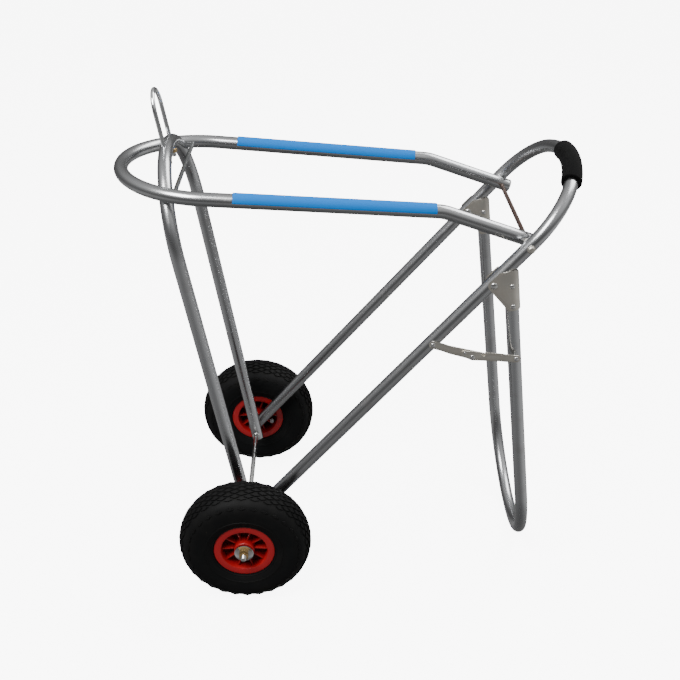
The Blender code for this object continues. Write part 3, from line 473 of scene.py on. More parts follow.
def tube(name: str, route: Route, radius: float = TUBE_R, wall: float = TUBE_WALL,
         sides: int = 36) -> Piece:
    """A bent tube with an open bore and softly broken end rims.

    Args:
        name: Its name.
        route: Its centre line.
        radius: Outer radius.
        wall: Wall thickness.
        sides: Points round it.

    Returns:
        The tube.
    """
    obj = bend_bar(name, route, radius, sides)
    finish_with(obj, "SOLIDIFY", thickness=wall, offset=-1.0)
    soften(obj, 0.0003, 2, 60.0)
    return smooth(obj, 40.0)


def solid_bar(name: str, route: Route, radius: float, sides: int, step: float = 6.0) -> Piece:
    """A bent bar with closed ends.

    Args:
        name: Its name.
        route: Its centre line.
        radius: Its radius.
        sides: Points round it.
        step: Degrees of bend from ring to ring.

    Returns:
        The bar.
    """
    obj = bend_bar(name, route, radius, sides, step)
    with editing(obj):
        bpy.ops.mesh.select_all(action="DESELECT")
        bpy.ops.mesh.select_non_manifold(extend=False)
        bpy.ops.mesh.fill_holes(sides=0)
        bpy.ops.mesh.select_all(action="SELECT")
        bpy.ops.mesh.normals_make_consistent(inside=False)
    return smooth(obj, 40.0)


# Turned pieces

def draw_rings(steps: Iterable[tuple]) -> None:
    """Draws the selected ring of edges on along Z, through each pair of (radius, height) points.

    Args:
        steps: Pairs of points; each pair starts where the last one ended.
    """
    for (radius, height), (wider, higher) in steps:
        bpy.ops.mesh.extrude_edges_move(TRANSFORM_OT_translate={"value": (0, 0, higher - height)})
        if abs(wider - radius) > SAME:
            size = wider / radius
            bpy.ops.transform.resize(value=(size, size, 1), center_override=(0, 0, higher))


def turned(name: str, profile: Profile, centre: Vector, axis: Vector,
           sides: int = 40, closed: bool = False, angle: float = 35.0) -> Piece:
    """Turns a profile round an axis, ring by ring.

    Args:
        name: Name of the piece.
        profile: (radius, height) points. A radius of 0 closes the piece on its axis.
        centre: Point where the height is 0.
        axis: Direction of growing height.
        sides: Facets round it.
        closed: True for a ring with a hole, whose profile returns to its first point.
        angle: Edges sharper than this stay crisp.

    Returns:
        The closed piece, in place.
    """
    points = [(max(radius, POINT), height) for radius, height in profile]
    obj = ring(name, points[0][0], sides, Vector((0, 0, points[0][1])), Z_AXIS)
    route = list(zip(points, points[1:] + (points[:1] if closed else [])))
    with editing(obj):
        if not closed:
            bpy.ops.mesh.edge_face_add()
            choose(obj, "edges", lambda edge: True)
        draw_rings(route)
        if not closed:
            bpy.ops.mesh.edge_face_add()
    shift_mesh(obj, standing(centre, axis))
    return tidy(obj, angle)


def collar(name: str, hole: float, radius: float, span: Sequence[float], centre: Vector,
           axis: Vector = Y_AXIS, sides: int = 36) -> Piece:
    """A plain turned ring with broken outer edges.

    Args:
        name: Name of the piece.
        hole: Radius of its hole.
        radius: Outer radius.
        span: Where it starts and ends along the axis.
        centre: Point where the height is 0.
        axis: Direction of growing height.
        sides: Facets round it.

    Returns:
        The ring, in place.
    """
    low, high = span
    profile = ((hole, low), (radius - EDGE, low), (radius, low + EDGE), (radius, high - EDGE),
               (radius - EDGE, high), (hole, high))
    return turned(name, profile, centre, axis, sides, closed=True)


# Shader maths

class Value:
    """One output of a node, which Python's operators can work on."""

    def __init__(self, graph: "Graph", socket: bpy.types.NodeSocket) -> None:
        """Wraps a socket of a graph."""
        self.graph = graph
        self.socket = socket

    def maths(self, operation: str, other: object = None) -> "Value":
        """A Math node on this value and, where it takes two, another."""
        return self.graph.add("ShaderNodeMath", {"operation": operation}, {0: self, 1: other})

    def __add__(self, other: object) -> "Value":
        """self + other."""
        return self.maths("ADD", other)

    def __sub__(self, other: object) -> "Value":
        """self - other."""
        return self.maths("SUBTRACT", other)

    def __mul__(self, other: object) -> "Value":
        """self * other."""
        return self.maths("MULTIPLY", other)


class Graph:
    """The nodes of one material, or of the world."""

    def __init__(self, name: str, world: bpy.types.World | None = None) -> None:
        """Starts a material with its Principled BSDF, or takes over a world with its Background.

        Args:
            name: The material's name.
            world: The world, for a world's graph.
        """
        self.material = world or bpy.data.materials.new(name)
        self.material.use_nodes = True
        self.nodes = self.material.node_tree.nodes
        self.links = self.material.node_tree.links
        self.shader = self.nodes["Background" if world else "Principled BSDF"]

    def add(self, kind: str, settings: dict, inputs: dict, output: object = 0) -> Value:
        """Adds a node.

        Args:
            kind: The node's type.
            settings: Its properties; "stops" sets a ramp's (position, grey) stops.
            inputs: A value or a Value for each named or numbered socket.
            output: Which output to return.

        Returns:
            That output.
        """
        node = self.nodes.new(kind)
        for key, value in settings.items():
            if key == "stops":
                self.set_stops(node, value)
            else:
                setattr(node, key, value)
        for key, value in inputs.items():
            if isinstance(value, Value):
                self.links.new(value.socket, node.inputs[key])
            elif value is not None:
                node.inputs[key].default_value = value
        return Value(self, node.outputs[output])

    @staticmethod
    def set_stops(node: bpy.types.Node, stops: Profile) -> None:
        """Sets the stops of a colour ramp as greys.

        Args:
            node: The ramp.
            stops: The (position, grey) stops, in order.
        """
        elements = node.color_ramp.elements
        while len(elements) < len(stops):
            elements.new(0.5)
        for element, (position, grey) in zip(elements, stops):
            element.position = position
            element.color = (grey, grey, grey, 1.0)

    def place(self, along_bar: bool = False, scale: Colour = (1, 1, 1),
              centre: Vector = Vector()) -> Value:
        """The point on the piece, as a vector.

        Args:
            along_bar: True for the place in a straightened bar, False for object coordinates.
            scale: Factor for each axis.
            centre: Point that becomes the origin.

        Returns:
            The point.
        """
        if along_bar:
            source = self.add("ShaderNodeAttribute", {"attribute_name": BAR}, {}, "Vector")
        else:
            source = self.add("ShaderNodeTexCoord", {}, {}, "Object")
        shift = tuple(-c * s for c, s in zip(centre, scale))
        return self.add("ShaderNodeMapping", {}, {"Vector": source, "Location": shift, "Scale": scale})

    def noise(self, vector: Value, scale: float, detail: float = 3.0, rough: float = 0.55) -> Value:
        """Noise from 0 to 1."""
        inputs = {"Vector": vector, "Scale": scale, "Detail": detail, "Roughness": rough}
        return self.add("ShaderNodeTexNoise", {}, inputs, "Fac")

    def cells(self, vector: Value, scale: float, feature: str = "F1") -> Value:
        """Voronoi cells, as a distance."""
        inputs = {"Vector": vector, "Scale": scale}
        return self.add("ShaderNodeTexVoronoi", {"feature": feature}, inputs, "Distance")

    def ramp(self, value: Value, stops: Profile) -> Value:
        """A curve through grey stops."""
        return self.add("ShaderNodeValToRGB", {"stops": stops}, {"Fac": value}, "Color")

    def part(self, vector: Value, letter: str) -> Value:
        """X, Y or Z of a vector."""
        return self.add("ShaderNodeSeparateXYZ", {}, {0: vector}, letter)

    def spread(self, value: Value, low: float, high: float) -> Value:
        """Maps 0..1 to low..high."""
        return self.add("ShaderNodeMapRange", {}, {"Value": value, "To Min": low, "To Max": high})

    def share(self, value: Value, low: float, high: float) -> Value:
        """Maps low..high to 0..1, and holds it there outside."""
        return self.add("ShaderNodeMapRange", {}, {"Value": value, "From Min": low, "From Max": high})

    def tint(self, factor: object, one: object, other: object) -> Value:
        """Mixes two colours."""
        inputs = {0: factor, 6: self.rgba(one), 7: self.rgba(other)}
        return self.add("ShaderNodeMix", {"data_type": "RGBA"}, inputs, 2)

    @staticmethod
    def rgba(colour: object) -> object:
        """A plain colour with its alpha, or a Value as it is."""
        return colour if isinstance(colour, Value) else (*colour, 1.0)

    def bump(self, height: Value, distance: float, strength: float = 1.0,
             coarse: Value | None = None) -> Value:
        """Turns a height into a normal, on top of a coarser bump if there is one."""
        inputs = {"Height": height, "Distance": distance, "Strength": strength, "Normal": coarse}
        return self.add("ShaderNodeBump", {}, inputs)

    def finish(self, **inputs: object) -> bpy.types.Material:
        """Sets the shader's sockets, named with underscores, and hands over the material.

        Args:
            **inputs: A value, a colour or a Value for each socket.

        Returns:
            The material.
        """
        for key, value in inputs.items():
            socket = self.shader.inputs[key.replace("_", " ")]
            if isinstance(value, Value):
                self.links.new(value.socket, socket)
            else:
                socket.default_value = (*value, 1.0) if isinstance(value, tuple) else value
        return self.material


# Finishes

RECESS_DARK = 0.014      # from a wheel's middle plane: where its rim is fully in the shade
RECESS_LIT = 0.032       # and where it is fully lit
DUST_GREY = 0.35


def shade(colour: Colour, factor: float) -> Colour:
    """A colour made darker, or lighter with a factor over 1."""
    return tuple(factor * channel for channel in colour)


def dusty(colour: Colour) -> Colour:
    """A colour under scuffs and dust."""
    return tuple(0.5 * channel + DUST_GREY for channel in colour)


@dataclass(frozen=True)
class Metal:
    """Plated or drawn metal with grain, scratches and a few dull marks."""

    name: str
    colour: Colour
    dull: Colour                 # where it is stained or worn
    roughness: float
    grain: Colour = (1, 1, 1)    # scale of the grain along each axis
    along_bar: bool = False
    stain: float = 0.35          # share of the surface that is stained
    bump: float = 0.00002

    def material(self) -> bpy.types.Material:
        """Builds the material.

        Returns:
            The material.
        """
        graph = Graph(self.name)
        plain = graph.place(self.along_bar)
        grain = graph.noise(graph.place(self.along_bar, self.grain), 1.0, 4.0, 0.6)
        patches = graph.noise(plain, 22.0, 5.0, 0.62)
        marks = graph.ramp(patches, ((0.62 - self.stain / 2, 0.0), (0.80, 1.0)))
        flakes = graph.place(self.along_bar, shade(self.grain, 0.35))
        fine = graph.ramp(graph.cells(flakes, 1.0, "DISTANCE_TO_EDGE"), ((0.0, 1.0), (0.035, 0.0)))
        base = graph.tint(graph.spread(grain, 0.0, 0.35), self.colour, shade(self.colour, 0.80))
        colour = graph.tint(marks * 0.6, base, self.dull)
        rough = graph.spread(grain, self.roughness - 0.06, self.roughness + 0.07)
        rough = rough + marks * 0.12 - fine * 0.05
        normal = graph.bump(grain + fine * 0.6, self.bump)
        return graph.finish(Base_Color=colour, Metallic=1.0, Roughness=rough, Normal=normal)


@dataclass(frozen=True)
class Plastic:
    """Moulded plastic with a faint skin, dusty scuffs, and painted shade where it lies deep in a wheel's
    recess.
    """

    name: str
    colour: Colour
    deep: Colour
    roughness: float
    skin: float = 900.0
    bump: float = 0.00003
    scuffs: float = 0.25
    gloss: float = 0.5
    # Painted shade: how much darker the colour is made deep in a wheel's recess.
    painted_recess_shade: float = 0.0            # how much darker it is deep in a wheel's recess

    def material(self) -> bpy.types.Material:
        """Builds the material.

        Returns:
            The material.
        """
        graph = Graph(self.name)
        plain = graph.place()
        skin = graph.noise(plain, self.skin, 3.0, 0.6)
        cloud = graph.noise(plain, 14.0, 4.0)
        scratches = graph.noise(graph.place(scale=(260, 260, 60)), 1.0, 5.0, 0.7)
        scuff = graph.ramp(scratches, ((0.63, 0.0), (0.74, 1.0)))
        colour = graph.tint(graph.spread(cloud, 0.0, 0.8), self.colour, self.deep)
        colour = graph.tint(scuff * self.scuffs, colour, dusty(self.colour))
        # Painted shade: the colour darkens towards the wheel's middle plane, deep in its recess.
        if self.painted_recess_shade:
            sideways = (graph.part(plain, "Y").maths("ABSOLUTE") - HALF_TRACK).maths("ABSOLUTE")
            depth = graph.share(sideways, RECESS_LIT, RECESS_DARK)
            colour = graph.tint(depth * self.painted_recess_shade, colour, shade(self.colour, 0.12))
        rough = graph.spread(skin, self.roughness - 0.05, self.roughness + 0.07) + scuff * 0.15
        return graph.finish(Base_Color=colour, Roughness=rough, Normal=graph.bump(skin, self.bump),
                            Specular_IOR_Level=self.gloss)


@dataclass(frozen=True)
class TyreRubber:
    """Moulded tyre: turned rings on the side walls, dust between the blocks, worn crown."""

    name: str
    colour: Colour
    dust: Colour
    crown: float

    def material(self) -> bpy.types.Material:
        """Builds the material.

        Returns:
            The material.
        """
        graph = Graph(self.name)
        place = graph.place(scale=(1, 0, 1), centre=AXLE)
        radius = graph.add("ShaderNodeVectorMath", {"operation": "LENGTH"}, {0: place}, "Value")
        plain = graph.place()
        pores = graph.noise(plain, 1400.0, 3.0, 0.6)
        cloud = graph.noise(plain, 30.0, 5.0, 0.6)
        grooves = graph.share(radius, self.crown - 0.0030, self.crown - 0.0006)
        film = graph.ramp(cloud, ((0.48, 0.0), (0.72, 1.0)))
        colour = graph.tint(film * 0.35, self.colour, self.dust)
        colour = graph.tint(grooves * 0.35, colour, shade(self.colour, 2.4))
        rough = graph.spread(pores, 0.52, 0.70) + film * 0.12
        rings = (radius * 4200.0).maths("SINE")
        normal = graph.bump(pores, 0.00006)
        normal = graph.bump(rings, 0.00003, 0.5, normal)
        return graph.finish(Base_Color=colour, Roughness=rough, Normal=normal, Specular_IOR_Level=0.14)


@dataclass(frozen=True)
class Foam:
    """Closed-cell foam: fine open pores and a soft nap."""

    name: str
    colour: Colour
    light: Colour

    def material(self) -> bpy.types.Material:
        """Builds the material.

        Returns:
            The material.
        """
        graph = Graph(self.name)
        plain = graph.place()
        pores = graph.cells(plain, 900.0)
        nap = graph.noise(plain, 2600.0, 2.0)
        lumps = graph.noise(plain, 130.0, 4.0)
        pits = graph.ramp(pores, ((0.10, 0.0), (0.55, 1.0)))
        colour = graph.tint(graph.spread(lumps, 0.0, 0.55), self.colour, self.light)
        colour = graph.tint(pits * 0.4, shade(self.colour, 0.4), colour)
        normal = graph.bump(lumps, 0.0006, 0.7)
        normal = graph.bump(pits + nap * 0.5, 0.0003, 0.8, normal)
        return graph.finish(Base_Color=colour, Roughness=0.95, Normal=normal, Sheen_Weight=0.02,
                            Sheen_Roughness=0.5, Specular_IOR_Level=0.10)


# Scale of a metal's grain along each axis
LENGTHWAYS = (1300.0, 1300.0, 30.0)
ROLLED = (900.0, 120.0, 120.0)
FINE = (600, 600, 600)
COARSE = (500, 500, 500)


class Finish(Enum):
    """Every finish on the trolley, named as the record's material slots."""

    SATIN_TUBE = Metal("satin_tube", (0.48, 0.485, 0.495), (0.35, 0.34, 0.325), 0.25, LENGTHWAYS, True,
                       stain=0.18, bump=0.000012)
    ZINC_STEEL = Metal("zinc_steel", (0.70, 0.675, 0.61), (0.53, 0.46, 0.39), 0.38, ROLLED, stain=0.40)
    BRIGHT_STEEL = Metal("bright_steel", (0.72, 0.72, 0.71), (0.42, 0.40, 0.36), 0.20, FINE, stain=0.20)
    DARK_STEEL = Metal("dark_steel", (0.20, 0.15, 0.13), (0.16, 0.065, 0.035), 0.42, LENGTHWAYS, True,
                       stain=0.55)
    GREY_ROD = Metal("grey_rod", (0.30, 0.31, 0.31), (0.16, 0.15, 0.14), 0.34, LENGTHWAYS, True,
                     stain=0.35)
    CHROME = Metal("chrome", (0.80, 0.81, 0.82), (0.55, 0.55, 0.55), 0.09, LENGTHWAYS, True,
                   stain=0.10, bump=0.000004)
    YELLOW_ZINC = Metal("yellow_zinc", (0.66, 0.47, 0.19), (0.45, 0.24, 0.14), 0.30, COARSE, stain=0.45)
    TYRE_RUBBER = TyreRubber("tyre_rubber", (0.0042, 0.0042, 0.0044), (0.011, 0.0105, 0.0095),
                             crown=0.130)
    INNER_TUBE_RUBBER = Plastic("inner_tube_rubber", (0.02, 0.02, 0.02), (0.03, 0.03, 0.03), 0.5)
    # The red rim carries painted shade deep in its recess.
    RED_PLASTIC = Plastic("red_plastic", (0.42, 0.009, 0.012), (0.31, 0.006, 0.008), 0.36, skin=700.0,
                          painted_recess_shade=0.75)
    BLACK_FOAM = Foam("black_foam", (0.0024, 0.0024, 0.0026), (0.0052, 0.0052, 0.0056))
    BLUE_PAD = Plastic("blue_pad", (0.0, 0.165, 0.56), (0.0, 0.14, 0.50), 0.60, skin=1200.0, bump=0.00004,
                       scuffs=0.01, gloss=0.10)
    GREY_PLASTIC = Plastic("grey_plastic", (0.42, 0.43, 0.44), (0.34, 0.35, 0.36), 0.45)
    WHITE_NYLON = Plastic("white_nylon", (0.70, 0.69, 0.65), (0.60, 0.58, 0.53), 0.40)


def width_of(node: str) -> tuple[float, float]:
    """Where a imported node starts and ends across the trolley."""
    low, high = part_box(node)
    return low.y, high.y


MADE: dict[Finish, bpy.types.Material] = {}


def material_of(finish: Finish) -> bpy.types.Material:
    """The finish's material, made once.

    Args:
        finish: The finish.

    Returns:
        Its material.
    """
    if finish not in MADE:
        MADE[finish] = finish.value.material()
    return MADE[finish]


def dress(obj: Piece, finish: Finish) -> Piece:
    """Gives a piece its finish.

    Args:
        obj: The piece.
        finish: Its finish.

    Returns:
        The same piece.
    """
    obj.data.materials.clear()
    obj.data.materials.append(material_of(finish))
    return obj


def fit(obj: Piece, finish: Finish, body: str, *nodes: str, slot: str = "") -> Piece:
    """Dresses a piece, hangs it on its body and lets it stand for its nodes.

    Args:
        obj: The finished piece, in place.
        finish: Its finish.
        body: The body that it rides on.
        *nodes: The CAD nodes that it stands for.
        slot: The record's slot, where it isn't named as the finish is. Not used.

    Returns:
        The piece.
    """
    dress(obj, finish)
    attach(obj, body)
    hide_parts(*nodes)
    LOG.info("%s rides on %s and stands for %s", obj.name, body, ", ".join(nodes))
    return obj


def fit_pair(obj: Piece, name: str, finish: Finish, body: str, slot: str = "") -> None:
    """Fits a piece of the right side and its mirror copy on the left.

    Args:
        obj: The piece for the right side.
        name: Both nodes' name, without _left or _right.
        finish: Their finish.
        body: The body that both ride on.
        slot: The record's slot, where it isn't named as the finish is.
    """
    twin = copy_of(obj, f"{name}_left_form", Matrix.Scale(-1, 4, Y_AXIS))
    obj.name = f"{name}_right_form"
    fit(obj, finish, body, f"{name}_right", slot=slot)
    fit(twin, finish, body, f"{name}_left", slot=slot)


NUT_CHAMFER = math.radians(32)


def nut(name: str, flats: float, height: float, centre: Vector, axis: Vector) -> Piece:
    """A hexagon nut with turned corners.

    Args:
        name: Name of the piece.
        flats: Size across the flats.
        height: Its thickness.
        centre: Middle of its lower face.
        axis: Direction of the thickness.

    Returns:
        The nut, in place.
    """
    corner = flats / 2 / math.cos(math.pi / 6)
    deselect()
    middle = (0, 0, height / 2)
    bpy.ops.mesh.primitive_cylinder_add(vertices=6, radius=corner, depth=height, location=middle)
    block = settle(bpy.context.object, name)
    half = flats / 2
    drop = (corner - half) * math.tan(NUT_CHAMFER)
    past = 0.001
    profile = ((0, -past), (half - 0.0006, -past), (half - 0.0002, 0.0), (corner, drop),
               (corner, height - drop), (half - 0.0002, height), (half - 0.0006, height + past),
               (0, height + past))
    cut_with(block, turned("nut_corners", profile, Vector(), Z_AXIS, 48), "INTERSECT")
    soften(block, 0.0002, 1, 35.0)
    shift_mesh(block, standing(centre, axis))
    return tidy(block, 30.0)


def hull_plate(name: str, discs: Sequence[Disc], low: float, high: float,
               sides: int = 48) -> Piece:
    """A plate whose outline is drawn tight round some discs.

    Args:
        name: Name of the piece.
        discs: (x, y, radius) of each disc.
        low: Height of its lower face.
        high: Height of its upper face.
        sides: Facets of each disc.

    Returns:
        The plate, lying flat.
    """
    posts = []
    for x, y, radius in discs:
        deselect()
        bpy.ops.mesh.primitive_cylinder_add(vertices=sides, radius=radius, depth=high - low,
                                            location=(x, y, (low + high) / 2))
        posts.append(settle(bpy.context.object, name))
    plate = join(name, posts)
    with editing(plate, "VERT"):
        bpy.ops.mesh.convex_hull()
        bpy.ops.mesh.dissolve_limited(angle_limit=math.radians(0.5))
        bpy.ops.mesh.normals_make_consistent(inside=False)
    return plate


UPRIGHT = Matrix.Rotation(math.pi / 2, 4, "X")     # stands a flat plate in the XZ plane


def rivet(name: str, shank: float, head: float, rise: float, low: float, high: float, centre: Vector,
          axis: Vector = Y_AXIS) -> Piece:
    """A rivet with a domed head at both ends.

    Args:
        name: Name of the piece.
        shank: Radius of its shank.
        head: Radius of its heads.
        rise: Height of its heads.
        low: Where the shank starts, along the axis.
        high: Where it ends.
        centre: Point on the axis where the height is 0.
        axis: Direction of the shank.

    Returns:
        The rivet, in place.
    """
    arc = [(head * math.cos(turn), rise * math.sin(turn)) for turn in
           (math.radians(angle) for angle in (0, 14, 30, 46, 62, 76, 90))]
    tail = [(radius, low - height) for radius, height in reversed(arc)]
    dome = [(radius, high + height) for radius, height in arc]
    return turned(name, [*tail, (shank, low), (shank, high), *dome], centre, axis, 28, angle=40)


# Main frame

@dataclass
class MainFrame:
    """The long tube with the handle loop, and its foam grip."""

    half_width: float = MAIN_HALF_WIDTH
    length: float = 0.9297         # axle to the crest of the handle loop
    tail: float = 0.017
    bow: float = 0.250             # radius of the handle's bow
    corner: float = 0.125
    grip_radius: float = 0.0187
    grip_length: float = 0.137
    grip_start: float = math.radians(7.0)
    finger: float = 0.026          # from one finger hollow to the next
    hollow: float = 0.00035
    lump: float = 0.00015

    def way(self, turn: float, side: int) -> Vector:
        """Heading on the loop, when the bow has turned by an angle from straight across."""
        return MAIN_WAY * -math.sin(turn) + Y_AXIS * side * math.cos(turn)

    def half_bow(self) -> float:
        """Half of the angle that the bow covers."""
        return math.asin((self.half_width - self.corner) / (self.bow - self.corner))

    def route(self) -> Route:
        """From the crest of the handle down to the right end.

        Returns:
            The route of the right half.
        """
        bow = self.half_bow()
        route = Route(AXLE + MAIN_WAY * self.length, Y_AXIS)
        route.turn_to(self.way(bow, 1), self.bow)
        route.turn_to(-MAIN_WAY, self.corner)
        return route.run((route.at - AXLE).dot(MAIN_WAY) + self.tail)

    def build(self) -> None:
        """The bent tube and the grip on it."""
        fit(tube("main_tube", self.route().loop()), Finish.SATIN_TUBE, "frame", "main_frame")
        self.build_grip()

    def build_grip(self) -> None:
        """The foam sleeve, with soft ends that stand off the tube."""
        bow = self.half_bow()
        left = (self.grip_length - self.bow * (self.grip_start + bow)) / self.corner
        centre = AXLE + MAIN_WAY * (self.length - self.bow)
        outward = MAIN_WAY * math.cos(self.grip_start) + Y_AXIS * math.sin(self.grip_start)
        route = Route(centre + outward * self.bow, -self.way(self.grip_start, 1))
        route.turn_to(self.way(bow, -1), self.bow)
        route.turn_to(self.way(bow + left, -1), self.corner)
        grip = bend_bar("grip", route, self.grip_radius, 40, 1.2)
        finish_with(grip, "SOLIDIFY", thickness=self.grip_radius - TUBE_R - GAP, offset=-1.0)
        soften(grip, 0.0017, 4, 60.0)
        self.press(grip)
        tidy(grip, 60.0)
        fit(grip, Finish.BLACK_FOAM, "frame", "handle_grip")

    def press(self, grip: Piece) -> None:
        """Presses shallow finger hollows and lumps into the foam, never past its round skin.

        Args:
            grip: The foam grip.
        """
        bm = bmesh.new()
        bm.from_mesh(grip.data)
        layer = bm.verts.layers.float_vector[BAR]
        for vert in bm.verts:
            spot = vert[layer]
            if Vector(spot[:2]).length < self.grip_radius - 0.003:
                continue
            wave = 0.5 - 0.5 * math.cos(math.tau * spot[2] / self.finger)
            turn = math.atan2(spot[1], spot[0])
            hollow = self.hollow * wave * (0.6 + 0.4 * math.sin(turn))
            lump = self.lump * (1 + math.sin(3 * turn + 60 * spot[2]))
            vert.co -= vert.normal * (hollow + lump)
        bm.to_mesh(grip.data)
        bm.free()


# Front frame

@dataclass
class FrontFrame:
    """The arch in front, with the chrome bail and its nuts."""

    lean: float = math.radians(9.39)
    height: float = 0.737          # axle to the crest
    arch: float = 0.158
    foot: float = 0.140            # half width at the axle
    tail: float = 0.0165
    rod: float = 0.004
    bail_half_width: float = 0.034
    bail_crest: float = 0.101
    nut_flats: float = 0.013
    nut_height: float = 0.006

    def up(self) -> Vector:
        """Direction from the axle to the crest."""
        return tilted(self.lean)[0]

    def route(self) -> Route:
        """From the crest of the arch down to the right foot.

        Returns:
            The route of the right half.
        """
        splay = math.atan((self.arch - self.foot) / (self.height - self.arch))
        down = -self.up() * math.cos(splay) - Y_AXIS * math.sin(splay)
        route = Route(AXLE + self.up() * self.height, Y_AXIS).turn_to(down, self.arch)
        return route.run(((route.at - AXLE).dot(self.up()) + self.tail) / math.cos(splay))

    def build(self) -> None:
        """The bent tube, with the bail on it."""
        fit(tube("arch_tube", self.route().loop()), Finish.SATIN_TUBE, "frame", "front_arch")
        self.build_bail()

    def nut_top(self) -> float:
        """How high the bail's nuts reach, just short of the tube.

        Returns:
            The distance from the axle, up along the frame.
        """
        corner = self.nut_flats / 2 / math.cos(math.pi / 6)
        underside = math.sqrt((self.arch - TUBE_R) ** 2 - (self.bail_half_width + corner) ** 2)
        return self.height - self.arch + underside - 2 * GAP

    def build_bail(self) -> None:
        """The chrome loop, whose legs reach down under the arch, and its two nuts."""
        up = self.up()
        low = self.nut_top() - self.nut_height - 2 * self.rod
        route = Route(AXLE + up * (self.height + self.bail_crest), Y_AXIS)
        route.turn_to(-up, self.bail_half_width)
        route.run((route.at - AXLE).dot(up) - low)
        bail = solid_bar("bail", route.loop(), self.rod, 28)
        fit(soften(bail, 0.0006, 2, 60.0), Finish.CHROME, "frame", "bail_loop")
        place = AXLE + up * (self.nut_top() - self.nut_height) + Y_AXIS * self.bail_half_width
        piece = nut("bail_nut", self.nut_flats, self.nut_height, place, up)
        fit_pair(piece, "bail_nut", Finish.YELLOW_ZINC, "frame")


# Axle

@dataclass
class Axle:
    """The axle and all that is threaded on it, from the middle outwards."""

    radius: float = 0.005
    hub_face: float = 0.2686       # hub's bush flange to the hub washer
    washer: float = 0.0025
    washer_radius: float = 0.0185
    nut_flats: float = 0.017
    nut_height: float = 0.010
    inner_nut_flats: float = 0.015
    inner_nut_height: float = 0.006
    spacer_radius: float = 0.009
    inner_washer_radius: float = 0.010
    tip: float = 0.0200
    pitch: float = 0.00125

    def build(self) -> None:
        """The rod with its cut threads, the dished washers and the nuts."""
        face = self.hub_face + self.washer
        end = face + self.tip
        thread = [(self.radius - (0.0005 if step % 2 else 0.0), face + self.pitch / 2 * step)
                  for step in range(int(self.tip / self.pitch * 2) - 1)]
        right = [*thread, (self.radius - 0.0009, end), (0.0, end)]
        rod = turned("axle_rod", [*mirrored(right), *right], AXLE, Y_AXIS, 32, angle=60)
        fit(rod, Finish.BRIGHT_STEEL, "frame", "axle")
        hole = self.radius + SHEET_PLAY
        rim = self.washer_radius
        seat = self.hub_face
        dish = ((hole, seat), (rim - 0.0020, seat), (rim - 0.0005, seat + 0.0005), (rim, seat + 0.0016),
                (rim, face + 0.0011), (rim - 0.0006, face + 0.0015), (rim - 0.0013, face + 0.0012),
                (rim - 0.0040, face), (0.0100, face), (0.0085, face + 0.0002), (hole, face + 0.0002))
        washer = turned("hub_washer", dish, AXLE, Y_AXIS, 56, closed=True, angle=30)
        fit_pair(washer, "hub_washer", Finish.BRIGHT_STEEL, "frame")
        outer = nut("axle_nut", self.nut_flats, self.nut_height, across(AXLE, face + GAP), Y_AXIS)
        fit_pair(outer, "axle_nut", Finish.YELLOW_ZINC, "frame")
        place = across(AXLE, width_of("axle_inner_nut_right")[0])
        inner = nut("axle_inner_nut", self.inner_nut_flats, self.inner_nut_height, place, Y_AXIS)
        fit_pair(inner, "axle_inner_nut", Finish.BRIGHT_STEEL, "frame")
        for name, radius, finish in (("axle_spacer", self.spacer_radius, Finish.ZINC_STEEL),
                                     ("axle_washer", self.inner_washer_radius, Finish.BRIGHT_STEEL)):
            fit_pair(collar(name, hole, radius, width_of(f"{name}_right"), AXLE), name, finish, "frame")


# Wheels

